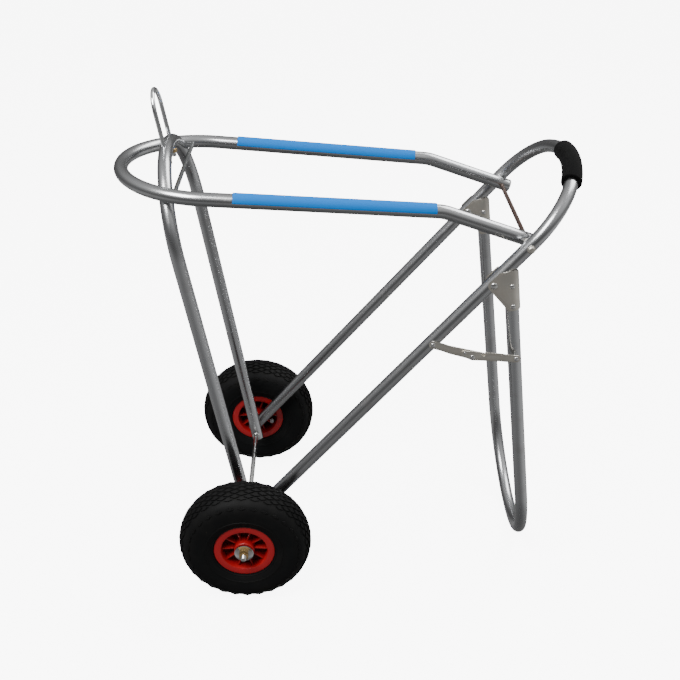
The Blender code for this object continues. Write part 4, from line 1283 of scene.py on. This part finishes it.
@dataclass
class Wheel:
    """A pneumatic barrow wheel with a ribbed plastic rim. Heights are from its middle plane."""

    radius: float = 0.130
    half_width: float = 0.0425
    tread_sides: int = 30
    tread_depth: float = 0.0024
    groove: float = 0.0011
    flange: float = 0.0595
    flange_half: float = 0.035
    barrel: float = 0.0490
    wall: float = 0.0045
    hub: float = 0.0205
    hub_out: float = 0.036
    hub_in: float = -0.0415
    web: float = 0.0085
    web_half: float = 0.0025
    ribs: int = 10
    rib: float = 0.0024
    rib_out: float = 0.026
    rib_in: float = -0.024
    valve: float = 0.0035
    valve_height: float = -0.006
    valve_reach: float = -0.030

    def tyre_section(self) -> list[tuple[float, float]]:
        """Half section of the tyre's outer skin, from the bead over the side wall to the crown.

        Returns:
            The (radius, height) points.
        """
        wide = self.half_width
        crown = self.radius - self.tread_depth
        flange = self.flange
        bead = [(self.barrel + 2 * GAP, 0.0282), (flange + 0.0004, 0.0300), (flange + 0.0010, 0.0366),
                (flange + 0.0030, 0.0380), (flange + 0.0042, 0.0374)]
        side = [(0.0680, 0.0396), (0.0740, 0.0414), (0.0745, 0.0420), (0.0760, 0.0420), (0.0765, 0.0414),
                (0.0830, wide - 0.0003), (0.0900, wide), (0.0970, wide - 0.0004)]
        shoulder = [(0.1040, wide - 0.0018), (0.1120, wide - 0.0060), (0.1185, wide - 0.0125),
                    (0.1232, wide - 0.0210), (crown - 0.0010, wide - 0.0315), (crown, 0.0)]
        return bead + side + shoulder

    def build_tyre(self) -> Piece:
        """The tyre, with a lattice of raised diamonds over the crown and the shoulders.

        Returns:
            The tyre, round Z.
        """
        half = self.tyre_section()
        inside = [(0.1190, 0.0), (0.1130, 0.0290), (0.0940, self.half_width - 0.005), (0.0680, 0.0310),
                  (self.barrel + 2 * GAP, 0.0165)]
        section = [*half, *mirrored(half[:-1]), *mirrored(inside[1:]), *inside]
        skin = turned("tyre", section, Vector(), Z_AXIS, self.tread_sides, closed=True)
        with editing(skin, "FACE"):
            self.choose_tread(skin)
            bpy.ops.mesh.poke()
            bpy.ops.mesh.select_mode(type="EDGE")
            choose(skin, "edges", self.is_old_edge)
            bpy.ops.mesh.dissolve_edges(use_verts=False)
            bpy.ops.mesh.select_mode(type="FACE")
            self.choose_diamonds(skin)
            bpy.ops.mesh.inset(thickness=self.groove, depth=0.0, use_individual=True)
            bpy.ops.mesh.inset(thickness=0.0007, depth=self.tread_depth, use_individual=True)
        return smooth(skin, 24.0)

    @staticmethod
    def on_tread(point: Vector) -> bool:
        """Whether a point of the skin lies on the part with the tread."""
        return point.xy.length > 0.1035 and (abs(point.z) > 0.0372 or point.xy.length > 0.1150)

    def choose_tread(self, skin: Piece) -> None:
        """Selects the faces of the skin that get the tread.

        Args:
            skin: The tyre's outer skin.
        """
        def wanted(face: object) -> bool:
            """Whether a face lies on the tread and looks outwards."""
            spot = face.calc_center_median()
            return self.on_tread(spot) and face.normal.dot(Vector((*spot.xy, spot.z * 1.2))) > 0

        choose(skin, "faces", wanted)

    @staticmethod
    def is_old_edge(edge: object) -> bool:
        """Whether an edge lay in the skin before its faces were poked."""
        return (len(edge.link_faces) == 2 and all(len(face.verts) == 3 for face in edge.link_faces)
                and all(len(vert.link_edges) > 4 for vert in edge.verts))

    def choose_diamonds(self, skin: Piece) -> None:
        """Selects the diamonds: faces with four sides, two of them poked points.

        Args:
            skin: The tyre's outer skin.
        """
        choose(skin, "faces", lambda face: len(face.verts) == 4
               and self.on_tread(face.calc_center_median())
               and sum(len(vert.link_edges) == 4 for vert in face.verts) >= 2
               and face.normal.dot(face.calc_center_median()) > 0)

    def build_rim(self) -> Piece:
        """The rim with its barrel, web, hub and radial ribs.

        Returns:
            The rim, round Z.
        """
        low, high = self.web - self.web_half, self.web + self.web_half
        bore = 0.010 + GAP
        inner = self.barrel - self.wall
        side = self.flange_half
        flange, barrel, hub = self.flange, self.barrel, self.hub
        lip = [(barrel, side - 0.0075), (barrel + 0.0006, side - 0.0062),
               (flange - 0.0006, side - 0.0042), (flange, side - 0.0026), (flange - 0.0002, side - 0.0014),
               (flange - 0.0011, side - EDGE), (flange - 0.0030, side), (inner + 0.0030, side),
               (inner + 0.0012, side - EDGE)]
        inwards = [(bore, self.hub_in), (hub - 0.0050, self.hub_in),
                   (hub - 0.0040, self.hub_in + 0.0010), (hub - 0.0022, low - 0.0020), (hub, low),
                   (inner - 0.0020, low), (inner - EDGE, low - 0.0016), (inner, 0.0030 - side)]
        outwards = [(inner, side - 0.0030), (inner - EDGE, high + 0.0016), (inner - 0.0020, high),
                    (hub + 0.0010, high), (hub, high + 0.0012), (hub - 0.0008, self.hub_out - 0.0010),
                    (hub - 0.0018, self.hub_out), (bore, self.hub_out)]
        profile = [*inwards, *mirrored(lip), *lip, *outwards]
        rim = turned("rim", profile, Vector(), Z_AXIS, 80, closed=True, angle=32)
        return join("rim", [rim, *self.build_ribs()])

    def build_ribs(self) -> list[Piece]:
        """Radial ribs on both faces of the web.

        Returns:
            The ribs, round Z.
        """
        root, tip = self.hub - 0.005, self.barrel - self.wall + 0.0015
        middle = (self.rib_out + self.rib_in) / 2
        deselect()
        bpy.ops.mesh.primitive_cube_add(size=1, location=((root + tip) / 2, 0, middle),
                                        scale=(tip - root, self.rib, self.rib_out - self.rib_in))
        first = settle(bpy.context.object, "rib")
        with editing(first, "FACE"):
            choose(first, "faces", lambda face: face.normal.x > 0.9)
            bpy.ops.transform.resize(value=(1, 1.15, 1.07), center_override=(tip, 0, middle))
        smooth(soften(first, 0.0005, 2, 50.0), 35.0)
        step = math.tau / self.ribs
        return [first, *(copy_of(first, f"rib_{number}", Matrix.Rotation(number * step, 4, "Z"))
                         for number in range(1, self.ribs))]

    def build_valve(self) -> tuple[Piece, Piece]:
        """The bent valve stem and its cap.

        Returns:
            The stem and the cap.
        """
        stem_line = self.barrel - self.wall - 3 * self.valve
        route = Route(Vector((self.barrel + 0.009, 0, self.valve_height)), Vector((-1, 0, 0)))
        route.run(route.at.x - stem_line - 2 * self.valve).turn_to(-Z_AXIS, 2 * self.valve)
        route.run(route.at.z - self.valve_reach)
        stem = soften(solid_bar("valve", route, self.valve, 20), 0.0004, 2, 60.0)
        wide = self.valve + 0.0010
        profile = [(0.0, 0.0), (wide - 0.0006, 0.0), (wide, 0.0010), (wide, 0.0050),
                   (wide - EDGE, 0.0062), (wide - 0.0016, 0.0070), (0.0, 0.0070)]
        cap = turned("valve_cap", profile, route.at - Z_AXIS * GAP, -Z_AXIS, 24, angle=60)
        half_rib = Matrix.Rotation(math.pi / self.ribs, 4, "Z")
        return shift_mesh(stem, half_rib), shift_mesh(cap, half_rib)

    def build_bush(self) -> Piece:
        """The flanged bush in the outer end of the hub.

        Returns:
            The bush, round Z.
        """
        hole = 0.0054
        top = self.hub_out + GAP
        low = top - 0.0223
        profile = ((hole, low), (0.0096, low), (0.0100, top - 0.0219), (0.0100, top), (0.0121, top),
                   (0.0125, top + EDGE), (0.0125, top + 0.0011), (0.0121, top + 0.0015),
                   (hole, top + 0.0015))
        return turned("bush", profile, Vector(), Z_AXIS, 36, closed=True)

    def build(self) -> None:
        """Both wheels, each piece with its own mesh."""
        stem, cap = self.build_valve()
        bush = self.build_bush()
        shift = Matrix.Translation((0, 0, self.hub_in + self.hub_out))
        turn_round = shift @ Matrix.Rotation(math.pi, 4, "X")
        pieces = (
            (self.build_tyre(), "tyre", Finish.TYRE_RUBBER),
            (self.build_rim(), "rim", Finish.RED_PLASTIC),
            (stem, "valve_stem", Finish.BRIGHT_STEEL),
            (cap, "valve_cap", Finish.GREY_PLASTIC),
            (copy_of(bush, "inner", turn_round), "inner_bush", Finish.WHITE_NYLON),
            (bush, "outer_bush", Finish.WHITE_NYLON),
        )
        for side, name in SIDES:
            turn = Matrix.Rotation(-side * math.pi / 2, 4, "X")
            place = Matrix.Translation(across(AXLE, side * HALF_TRACK)) @ turn
            for piece, label, finish in pieces:
                twin = copy_of(piece, f"{name}_{label}_form", place)
                fit(twin, finish, f"{name}_wheel", f"{name}_{label}")
            dress(frame["nodes"][f"{name}_inner_tube"], Finish.INNER_TUBE_RUBBER)
        for piece, _, _ in pieces:
            bpy.data.objects.remove(piece, do_unlink=True)


# Saddle rail

@dataclass
class SaddleRail:
    """The loop that carries the saddle, with its cross rod, blue strips and end plugs."""

    slope: float = math.radians(4.36)
    bend_ahead: float = 0.368      # of the bend from the axle, towards the handle
    bend_up: float = 0.650
    bend_r: float = 0.070
    front: float = 0.2063
    arc: float = 0.155
    rear_half_width: float = 0.1395
    tail: float = 0.015
    rod: float = 0.004
    rod_ahead: float = 0.094
    rod_seat: float = 0.006
    pad_fronts: tuple[tuple[int, float], ...] = ((1, -0.008), (-1, 0.006))    # past the axle, by side
    pad_length: float = 0.350
    pad_thickness: float = 0.0012
    pad_steps: int = 14
    plug_head: float = 0.0025
    plug_stub: float = 0.008

    def __post_init__(self) -> None:
        """Works out the bend, the crest and the way of the long part."""
        self.bend = AXLE + Vector((self.bend_ahead, 0, self.bend_up))
        crest_x = AXLE.x - self.front
        self.shoulder = crest_x + self.arc
        self.toe = math.atan((self.arc - self.rear_half_width) / (self.bend.x - self.shoulder))
        flat = Vector((-math.cos(self.toe), math.sin(self.toe), 0))
        rise = math.sin(self.slope) * math.cos(self.toe)
        self.forwards = Vector((flat.x * math.cos(self.slope), flat.y, rise))
        self.rearwards = (RAIL_PIVOT - self.bend).normalized()
        self.crest = Vector((crest_x, 0, self.height_at(crest_x)))

    def height_at(self, x: float) -> float:
        """Height of the middle line of the long part."""
        return self.bend.z + (self.bend.x - x) * math.tan(self.slope)

    def route(self) -> Route:
        """From the crest in front to the right end.

        Returns:
            The route of the right half.
        """
        back = -self.forwards
        route = Route(self.crest, Y_AXIS).turn_to(back, self.arc)
        half_turn = back.angle(self.rearwards) / 2
        route.run((self.bend.x - route.at.x) / back.x - self.bend_r * math.tan(half_turn))
        route.turn_to(self.rearwards, self.bend_r)
        return route.run((RAIL_PIVOT - route.at).dot(self.rearwards) + self.tail)

    def build(self) -> None:
        """All of the rail."""
        route = self.route()
        fit(tube("rail_tube", route.loop()), Finish.SATIN_TUBE, "rail", "rail_loop")
        self.build_cross_rod()
        self.build_plug(route.at)
        self.build_pads()

    def build_cross_rod(self) -> None:
        """The thin rod across the front of the loop."""
        x = AXLE.x - self.rod_ahead
        half = math.sqrt(self.arc ** 2 - (self.shoulder - x) ** 2) - self.rod_seat - GAP
        middle = Vector((x, 0, self.height_at(x)))
        rod = solid_bar("cross_rod", Route(middle, Y_AXIS).run(half).loop(), self.rod, 24)
        fit(soften(rod, 0.0005, 2, 60.0), Finish.GREY_ROD, "rail", "rail_cross_rod", slot="bright_steel")

    def build_plug(self, end: Vector) -> None:
        """The moulded plugs in the rear ends of the loop.

        Args:
            end: Middle of the right end.
        """
        stub = TUBE_R - TUBE_WALL - 2 * GAP
        top = GAP + self.plug_head
        profile = ((0, -self.plug_stub), (stub, -self.plug_stub), (stub, GAP), (TUBE_R - 0.0003, GAP),
                   (TUBE_R, GAP + 0.0004), (TUBE_R, top - 0.0012), (TUBE_R - 0.0004, top - 0.0005),
                   (TUBE_R - 0.0012, top), (0, top))
        plug = turned("rail_plug", profile, end, self.rearwards, 36)
        fit_pair(plug, "rail_plug", Finish.GREY_PLASTIC, "rail")

    def build_pads(self) -> None:
        """The blue half-round strips stuck along the top of the tubes, each at its own place."""
        for side, front in self.pad_fronts:
            flip = Matrix.Scale(side, 3, Y_AXIS)
            way = flip @ -self.forwards
            x = AXLE.x + front
            half_width = self.arc - (x - self.shoulder) * math.tan(self.toe)
            start = Vector((x, side * half_width, self.height_at(x)))
            name = dict(SIDES)[side]
            radius = TUBE_R + 2 * GAP + self.pad_thickness / 2
            pad = ring(f"rail_pad_{name}_form", radius, 48, start, way)
            up = way.cross(Z_AXIS.cross(way)).normalized()
            with editing(pad):
                choose(pad, "edges", lambda edge, spot=start, up=up:
                       sum((vert.co - spot).dot(up) for vert in edge.verts) < -1e-6)
                bpy.ops.mesh.delete(type="EDGE")
                bpy.ops.mesh.select_all(action="SELECT")
                step = way * self.pad_length / self.pad_steps
                for _ in range(self.pad_steps):
                    bpy.ops.mesh.extrude_region_move(TRANSFORM_OT_translate={"value": step})
            finish_with(pad, "SOLIDIFY", thickness=self.pad_thickness, offset=0.0)
            soften(pad, 0.00045, 3, 60.0)
            fit(tidy(pad, 40.0), Finish.BLUE_PAD, "rail", f"rail_pad_{name}")


@dataclass
class RailRod:
    """The rod that the rail swings on, its nylon spacers and its push-on caps."""

    rod: float = 0.004
    past: float = 0.004            # end of the rod past the main tube
    spacer: float = 0.007
    cap: float = 0.0075

    def build(self) -> None:
        """All that sits on the rod."""
        end = MAIN_OUTER + self.past
        rod = solid_bar("rail_rod", Route(RAIL_PIVOT, Y_AXIS).run(end).loop(), self.rod, 28)
        fit(soften(rod, 0.0006, 2, 60.0), Finish.DARK_STEEL, "frame", "rail_rod").name = "rail_rod_form"
        hole = self.rod + SHEET_PLAY
        span = width_of("rail_rod_spacer_right")
        spacer = collar("rail_rod_spacer", hole, self.spacer, span, RAIL_PIVOT)
        fit_pair(spacer, "rail_rod_spacer", Finish.WHITE_NYLON, "frame")
        face, cap = MAIN_OUTER + GAP, self.cap
        dome = ((0, end + GAP), (hole, end + GAP), (hole, face), (cap - 0.0003, face),
                (cap, face + 0.0003), (cap, face + 0.0012), (cap - 0.0006, face + 0.0016),
                (cap - 0.0008, face + 0.0030), (cap - 0.0014, end + 0.0008), (cap - 0.0028, end + 0.0019),
                (cap - 0.0050, end + 0.0024), (0, end + 0.0024))
        piece = turned("rail_rod_cap", dome, RAIL_PIVOT, Y_AXIS, 40)
        fit_pair(piece, "rail_rod_cap", Finish.ZINC_STEEL, "frame")


# Rear leg

LEG_UP, LEG_BACK = tilted(math.radians(7.31))
LEG_OFFSET = 0.0314                # of the leg's middle line from the hinge


@dataclass
class Leg:
    """The U-shaped rear leg with its folded brackets, hinge pins and rivets."""

    arc: float = 0.1725
    sheet: float = 0.002
    nose: float = 0.0105
    corner: float = 0.0025
    below: float = 0.0539
    above: float = 0.0250
    pin: float = 0.004
    pin_head: float = 0.0065
    pin_rise: float = 0.0028
    rivet: float = 0.0025
    rivet_head: float = 0.0045
    rivet_rise: float = 0.0020
    rivets: tuple[tuple[str, float], ...] = (("upper", -0.0054), ("lower", -0.0453))

    def build(self) -> None:
        """The leg and all that is riveted to it."""
        self.build_tube()
        self.build_bracket()
        grip = TUBE_R + SHEET_PLAY + self.sheet + GAP
        low, high = MAIN_HALF_WIDTH - grip, MAIN_HALF_WIDTH + grip
        pin = rivet("hinge_pin", self.pin, self.pin_head, self.pin_rise, low, high, HINGE)
        fit_pair(pin, "hinge_pin", Finish.BRIGHT_STEEL, "leg")
        for level, height in self.rivets:
            spot = HINGE + LEG_BACK * LEG_OFFSET + LEG_UP * height
            name = f"bracket_rivet_{level}"
            piece = rivet(name, self.rivet, self.rivet_head, self.rivet_rise, low, high, spot)
            fit_pair(piece, name, Finish.BRIGHT_STEEL, "leg")

    def build_tube(self) -> None:
        """The bent tube, whose top ends are cut parallel to the main tubes."""
        drop = (HINGE.z + LEG_OFFSET * LEG_BACK.z - TUBE_R) / LEG_UP.z
        foot = HINGE + LEG_BACK * LEG_OFFSET - LEG_UP * drop
        route = Route(foot, Y_AXIS).turn_to(LEG_UP, self.arc)
        route.run((HINGE - route.at).dot(LEG_UP) + 2 * TUBE_R)
        square = Vector((-MAIN_WAY.z, 0, MAIN_WAY.x))
        leg = bend_bar("leg_tube", route.loop(), TUBE_R, 36)
        with editing(leg):
            cut = HINGE - square * (TUBE_R + 3 * GAP)
            bpy.ops.mesh.bisect(plane_co=cut, plane_no=square, clear_outer=True)
        finish_with(leg, "SOLIDIFY", thickness=TUBE_WALL, offset=-1.0)
        soften(leg, 0.0003, 2, 60.0)
        fit(smooth(leg, 40.0), Finish.SATIN_TUBE, "leg", "leg_loop")

    def outline(self) -> list[Disc]:
        """Side view of a bracket as discs: away from the hinge towards the leg, and up along the leg.

        Returns:
            The discs, as (x, z, radius) from the hinge.
        """
        back = LEG_OFFSET + TUBE_R + SHEET_PLAY + self.sheet
        r = self.corner
        low, high = r - self.below, self.above
        return [(0, 0, self.nose), (LEG_OFFSET - 0.0096 + r, low, r), (back, low, r),
                (back, high - 0.0120, r), (LEG_OFFSET + 0.0060, high - r, r),
                (0.0094 + r, high - 0.0024 - r, r)]

    def build_bracket(self) -> None:
        """A folded sheet bracket: two cheeks joined by a bend round the leg."""
        inner = TUBE_R + SHEET_PLAY
        outer = inner + self.sheet
        tall = 2 * self.below
        slot = ((LEG_OFFSET, 0, outer), (-3 * self.nose, 0, outer))
        bracket = hull_plate("bracket", slot, -tall, tall)
        side_view = shift_mesh(hull_plate("outline", self.outline(), -2 * outer, 2 * outer, 32), UPRIGHT)
        cut_with(bracket, side_view, "INTERSECT")
        slot = ((LEG_OFFSET, 0, inner), (-5 * self.nose, 0, inner))
        cut_with(bracket, hull_plate("hollow", slot, -2 * tall, 2 * tall))
        with editing(bracket, "VERT"):
            bpy.ops.mesh.remove_doubles(threshold=1e-5)
            bpy.ops.mesh.dissolve_limited(angle_limit=math.radians(0.5))
        soften(bracket, 0.00035, 2, 45.0)
        to_leg = Matrix((LEG_BACK, Y_AXIS, LEG_UP)).transposed().to_4x4()
        shift_mesh(bracket, Matrix.Translation(across(HINGE, MAIN_HALF_WIDTH)) @ to_leg)
        fit_pair(tidy(bracket, 30.0), "hinge_bracket", Finish.ZINC_STEEL, "leg")


# Folding stay

@dataclass
class Stay:
    """Two riveted strips on the left that lock the leg open."""

    leg_below: float = 0.1490      # of its leg end along the leg below the hinge
    sheet: float = 0.0025
    half_width: float = 0.0073
    ear: float = 0.0066
    rise: float = 0.0055
    joggle: float = 0.0030
    leg_joggle: float = 0.0015
    stud: float = 0.0022
    stud_rise: float = 0.0008
    front_stud: tuple[float, float] = (0.0202, 0.0045)
    rear_stud: tuple[float, float] = (-0.0142, 0.0088)
    notch: float = 0.010
    rivet: float = 0.0025
    head: float = 0.0045
    head_rise: float = 0.0020
    knee_rise: float = 0.0016
    spacer: float = 0.0055
    lip: float = 0.001             # a strip's narrow end past its stud
    front_step: tuple[float, float] = (0.017, 0.029)     # the joggle, from the main rivet
    rear_step: tuple[float, float] = (0.030, 0.018)      # and the other strip's, short of the leg rivet

    def __post_init__(self) -> None:
        """Works out the planes of the strips, as distances from the middle plane, and the leg end."""
        self.front_end = MAIN_OUTER + SHEET_PLAY + self.sheet / 2
        self.front_knee = self.front_end + self.joggle
        self.rear_knee = self.front_knee + self.sheet + SHEET_PLAY
        self.rear_end = self.rear_knee + self.leg_joggle
        self.leg_end = HINGE + LEG_BACK * LEG_OFFSET - LEG_UP * self.leg_below

    def strip(self, name: str, discs: Sequence[Disc], begin: float, end: float,
              shift: float) -> Piece:
        """A flat strip in the XZ plane with one joggle.

        Args:
            name: Name of the strip.
            discs: Its outline.
            begin: Where the joggle begins, along X.
            end: Where it ends.
            shift: How far it steps outwards.

        Returns:
            The strip, round its own pivot.
        """
        half = self.sheet / 2
        strip = shift_mesh(hull_plate(name, discs, -half, half, 36), UPRIGHT)
        with editing(strip, "VERT"):
            for x in (begin, (begin + end) / 2, end):
                bpy.ops.mesh.select_all(action="SELECT")
                bpy.ops.mesh.bisect(plane_co=(x, 0, 0), plane_no=(1, 0, 0))
            for low in ((begin + end) / 2, end):
                choose(strip, "verts", lambda vert, low=low: vert.co.x > low - 1e-5)
                bpy.ops.transform.translate(value=(0, -shift / 2, 0))
        return strip

    def build(self) -> None:
        """Both strips with their rivets and studs, and the spacer on the leg."""
        to_knee = STAY_KNEE - STAY_MAIN
        slope = (to_knee.z + self.rise) / to_knee.x
        tip = to_knee.x + self.front_stud[0] + self.lip
        outline = [(0, 0, self.half_width), (tip, slope * tip, self.half_width - self.lip),
                   (to_knee.x, to_knee.z, self.ear)]
        front = self.strip("stay_front", outline, *self.front_step, self.joggle)
        self.finish_strip(front, across(STAY_MAIN, -self.front_end), "front")
        to_leg = self.leg_end - STAY_KNEE
        slope = (to_leg.z - self.rise) / to_leg.x
        tip = self.rear_stud[0] - self.lip
        outline = [(to_leg.x, to_leg.z, self.half_width),
                   (tip, self.rise + slope * tip, self.half_width - self.lip), (0, 0, self.ear)]
        begin, end = (to_leg.x - short for short in self.rear_step)
        rear = self.strip("stay_rear", outline, begin, end, self.leg_joggle)
        self.cut_notch(rear)
        self.finish_strip(rear, across(STAY_KNEE, -self.rear_knee), "rear")
        self.build_pins()

    @staticmethod
    def finish_strip(strip: Piece, place: Vector, end: str) -> None:
        """Breaks a strip's edges, puts it on its pivot and fits it.

        Args:
            strip: The strip, round its own pivot.
            place: The pivot.
            end: front or rear.
        """
        shift_mesh(soften(strip, EDGE, 2, 45.0), Matrix.Translation(place))
        fit(tidy(strip, 30.0), Finish.ZINC_STEEL, f"stay_{end}", f"stay_link_{end}")
        strip.name = f"stay_{end}_form"

    def cut_notch(self, rear: Piece) -> None:
        """Opens the rear strip's top edge over the front strip's stud.

        Args:
            rear: The rear strip, round its own pivot.
        """
        x, y = self.front_stud
        away = Vector((-y, x)).normalized() * self.notch
        wide = self.stud + 2 * GAP
        ends = ((x, y, wide), (x + away.x, y + away.y, wide))
        cut_with(rear, shift_mesh(hull_plate("notch", ends, -self.notch, self.notch, 24), UPRIGHT))

    def build_pins(self) -> None:
        """Rivets at the ends and the knee, a stud in each strip, and the spacer."""
        half = self.sheet / 2
        long_form = (self.rivet, self.head, self.head_rise)
        low_form = (self.rivet, self.head, self.knee_rise)
        stud_form = (self.stud, self.stud, self.stud_rise)
        front, rear = (STAY_KNEE + Vector((x, 0, z)) for x, z in (self.front_stud, self.rear_stud))
        inner, outer, last = self.front_knee, self.rear_knee, self.rear_end
        top = half + GAP
        for name, body, form, low, high, spot in (
                ("main_rivet", "frame", long_form, MAIN_OUTER - TUBE_R / 2, self.front_end + top,
                 STAY_MAIN),
                ("knee_rivet", "stay_rear", low_form, inner - top, outer + top, STAY_KNEE),
                ("leg_rivet", "stay_rear", long_form, last - half, last + top, self.leg_end),
                ("front_stud", "stay_front", stud_form, inner - half, inner + half - self.stud_rise, front),
                ("rear_stud", "stay_rear", stud_form, outer - half, outer + half, rear)):
            piece = rivet(f"stay_{name}_form", *form, low, high, spot, -Y_AXIS)
            fit(piece, Finish.BRIGHT_STEEL, body, f"stay_{name}")
        span = (MAIN_OUTER + GAP, self.rear_knee - half - 2 * GAP)
        hole = self.rivet + SHEET_PLAY
        spacer = collar("stay_spacer", hole, self.spacer, span, self.leg_end, -Y_AXIS, 32)
        fit(spacer, Finish.BRIGHT_STEEL, "leg", "stay_leg_spacer")


# Studio

@dataclass
class Studio:
    """A pale floor that curves up all round, soft light from above, and the camera."""

    floor_radius: float = 5.0
    wall_radius: float = 7.0
    wall_height: float = 9.0
    drop: float = 0.0005           # of the floor below the tyres
    glow: float = 7.5              # of the floor and wall, which throw no light
    aim: Vector = field(default_factory=lambda: Vector((0, 0, 0.4)))
    eye: tuple[float, float, float] = (-0.0397, -1.6994, 1.4095)
    pitch: float = -0.514656
    yaw: float = 0.015609
    roll: float = -0.0015074
    lens: float = 51.20
    sky: float = 1.2
    middle: float = 0.80
    sides: float = 0.90            # how much brighter it is to both sides
    lean: float = 0.35             # and how much more towards the handle
    bands: Profile = ((0.0, 0.15), (0.12, 0.18), (0.25, 0.34), (0.44, 0.10), (0.60, 0.14), (0.80, 0.46),
                      (1.0, 0.66))                    # from straight down to straight up

    def build_floor(self) -> None:
        """A round floor whose edge sweeps up to a high wall. It shows, and throws no light."""
        corner = self.wall_radius - self.floor_radius
        sweep = [(self.floor_radius + corner * math.sin(turn), corner * (1 - math.cos(turn)))
                 for turn in (math.radians(angle) for angle in range(0, 91, 10))]
        profile = [(0.5, 0.0), (2.0, 0.0), *sweep, (self.wall_radius, self.wall_height)]
        bowl = ring("studio_floor", profile[0][0], 96, Vector(), Z_AXIS)
        with editing(bowl):
            bpy.ops.mesh.edge_face_add()
            choose(bowl, "edges", lambda edge: True)
            draw_rings(zip(profile, profile[1:]))
        smooth(bowl, 60.0)
        graph = Graph("studio_pale")
        grain = graph.noise(graph.place(), 3.0, 2.0)
        colour = graph.tint(grain, (0.80, 0.80, 0.80), (0.78, 0.78, 0.78))
        pale = graph.finish(Base_Color=colour, Roughness=0.9, Specular_IOR_Level=0.0,
                            Emission_Color=(1.0, 1.0, 1.0), Emission_Strength=self.glow)
        bowl.data.materials.append(pale)
        bowl.visible_diffuse = False
        bowl.visible_glossy = False
        bowl.visible_shadow = False
        bowl.location.z = -self.drop

    def build_sky(self) -> None:
        """World light: bright above and to the sides, dark at eye level, dim from the floor."""
        world = bpy.data.worlds.new("studio_world")
        bpy.context.scene.world = world
        graph = Graph("studio_world", world)
        way = graph.add("ShaderNodeTexCoord", {}, {}, "Generated")
        sideways = graph.part(way, "X")
        bands = graph.ramp(graph.part(way, "Z") * 0.5 + 0.5, self.bands)
        level = sideways.maths("POWER", 2.0) * self.sides + sideways * self.lean
        graph.finish(Color=bands, Strength=(level + self.middle) * self.sky)

    def add_light(self, name: str, spot: Vector, size: float, power: float) -> None:
        """A square soft light aimed at the middle of the trolley.

        Args:
            name: Its name.
            spot: Where it hangs.
            size: Side of the square.
            power: Power in watts.
        """
        lamp = bpy.data.lights.new(name, "AREA")
        lamp.shape = "SQUARE"
        lamp.size = size
        lamp.energy = power
        light = bpy.data.objects.new(name, lamp)
        light.location = spot
        light.rotation_euler = (self.aim - spot).to_track_quat("-Z", "Y").to_euler()
        bpy.context.scene.collection.objects.link(light)

    def build_camera(self) -> None:
        """The camera at eye height, looking down on the trolley from its left side."""
        camera = bpy.data.objects.new("camera", bpy.data.cameras.new("camera"))
        camera.data.lens = self.lens
        camera.data.sensor_width = 36.0
        turn = Matrix.Rotation(-self.yaw, 4, "Z") @ Matrix.Rotation(math.pi / 2 + self.pitch, 4, "X")
        camera.matrix_world = Matrix.Translation(self.eye) @ turn @ Matrix.Rotation(self.roll, 4, "Z")
        bpy.context.scene.collection.objects.link(camera)
        bpy.context.scene.camera = camera

    def build(self) -> None:
        """The whole studio."""
        self.build_floor()
        self.build_sky()
        self.add_light("key", Vector((-1.2, -1.6, 3.2)), 1.6, 140.0)
        self.add_light("fill", Vector((1.8, 1.0, 3.0)), 2.0, 80.0)
        self.build_camera()


def main() -> None:
    """Builds the trolley around its frame, and the studio around the trolley."""
    logging.basicConfig(level=logging.INFO, format="%(message)s")
    for assembly in (MainFrame(), FrontFrame(), Axle(), Wheel(), SaddleRail(), RailRod(), Leg(), Stay(),
                     Studio()):
        assembly.build()


if __name__ == "__main__":
    main()
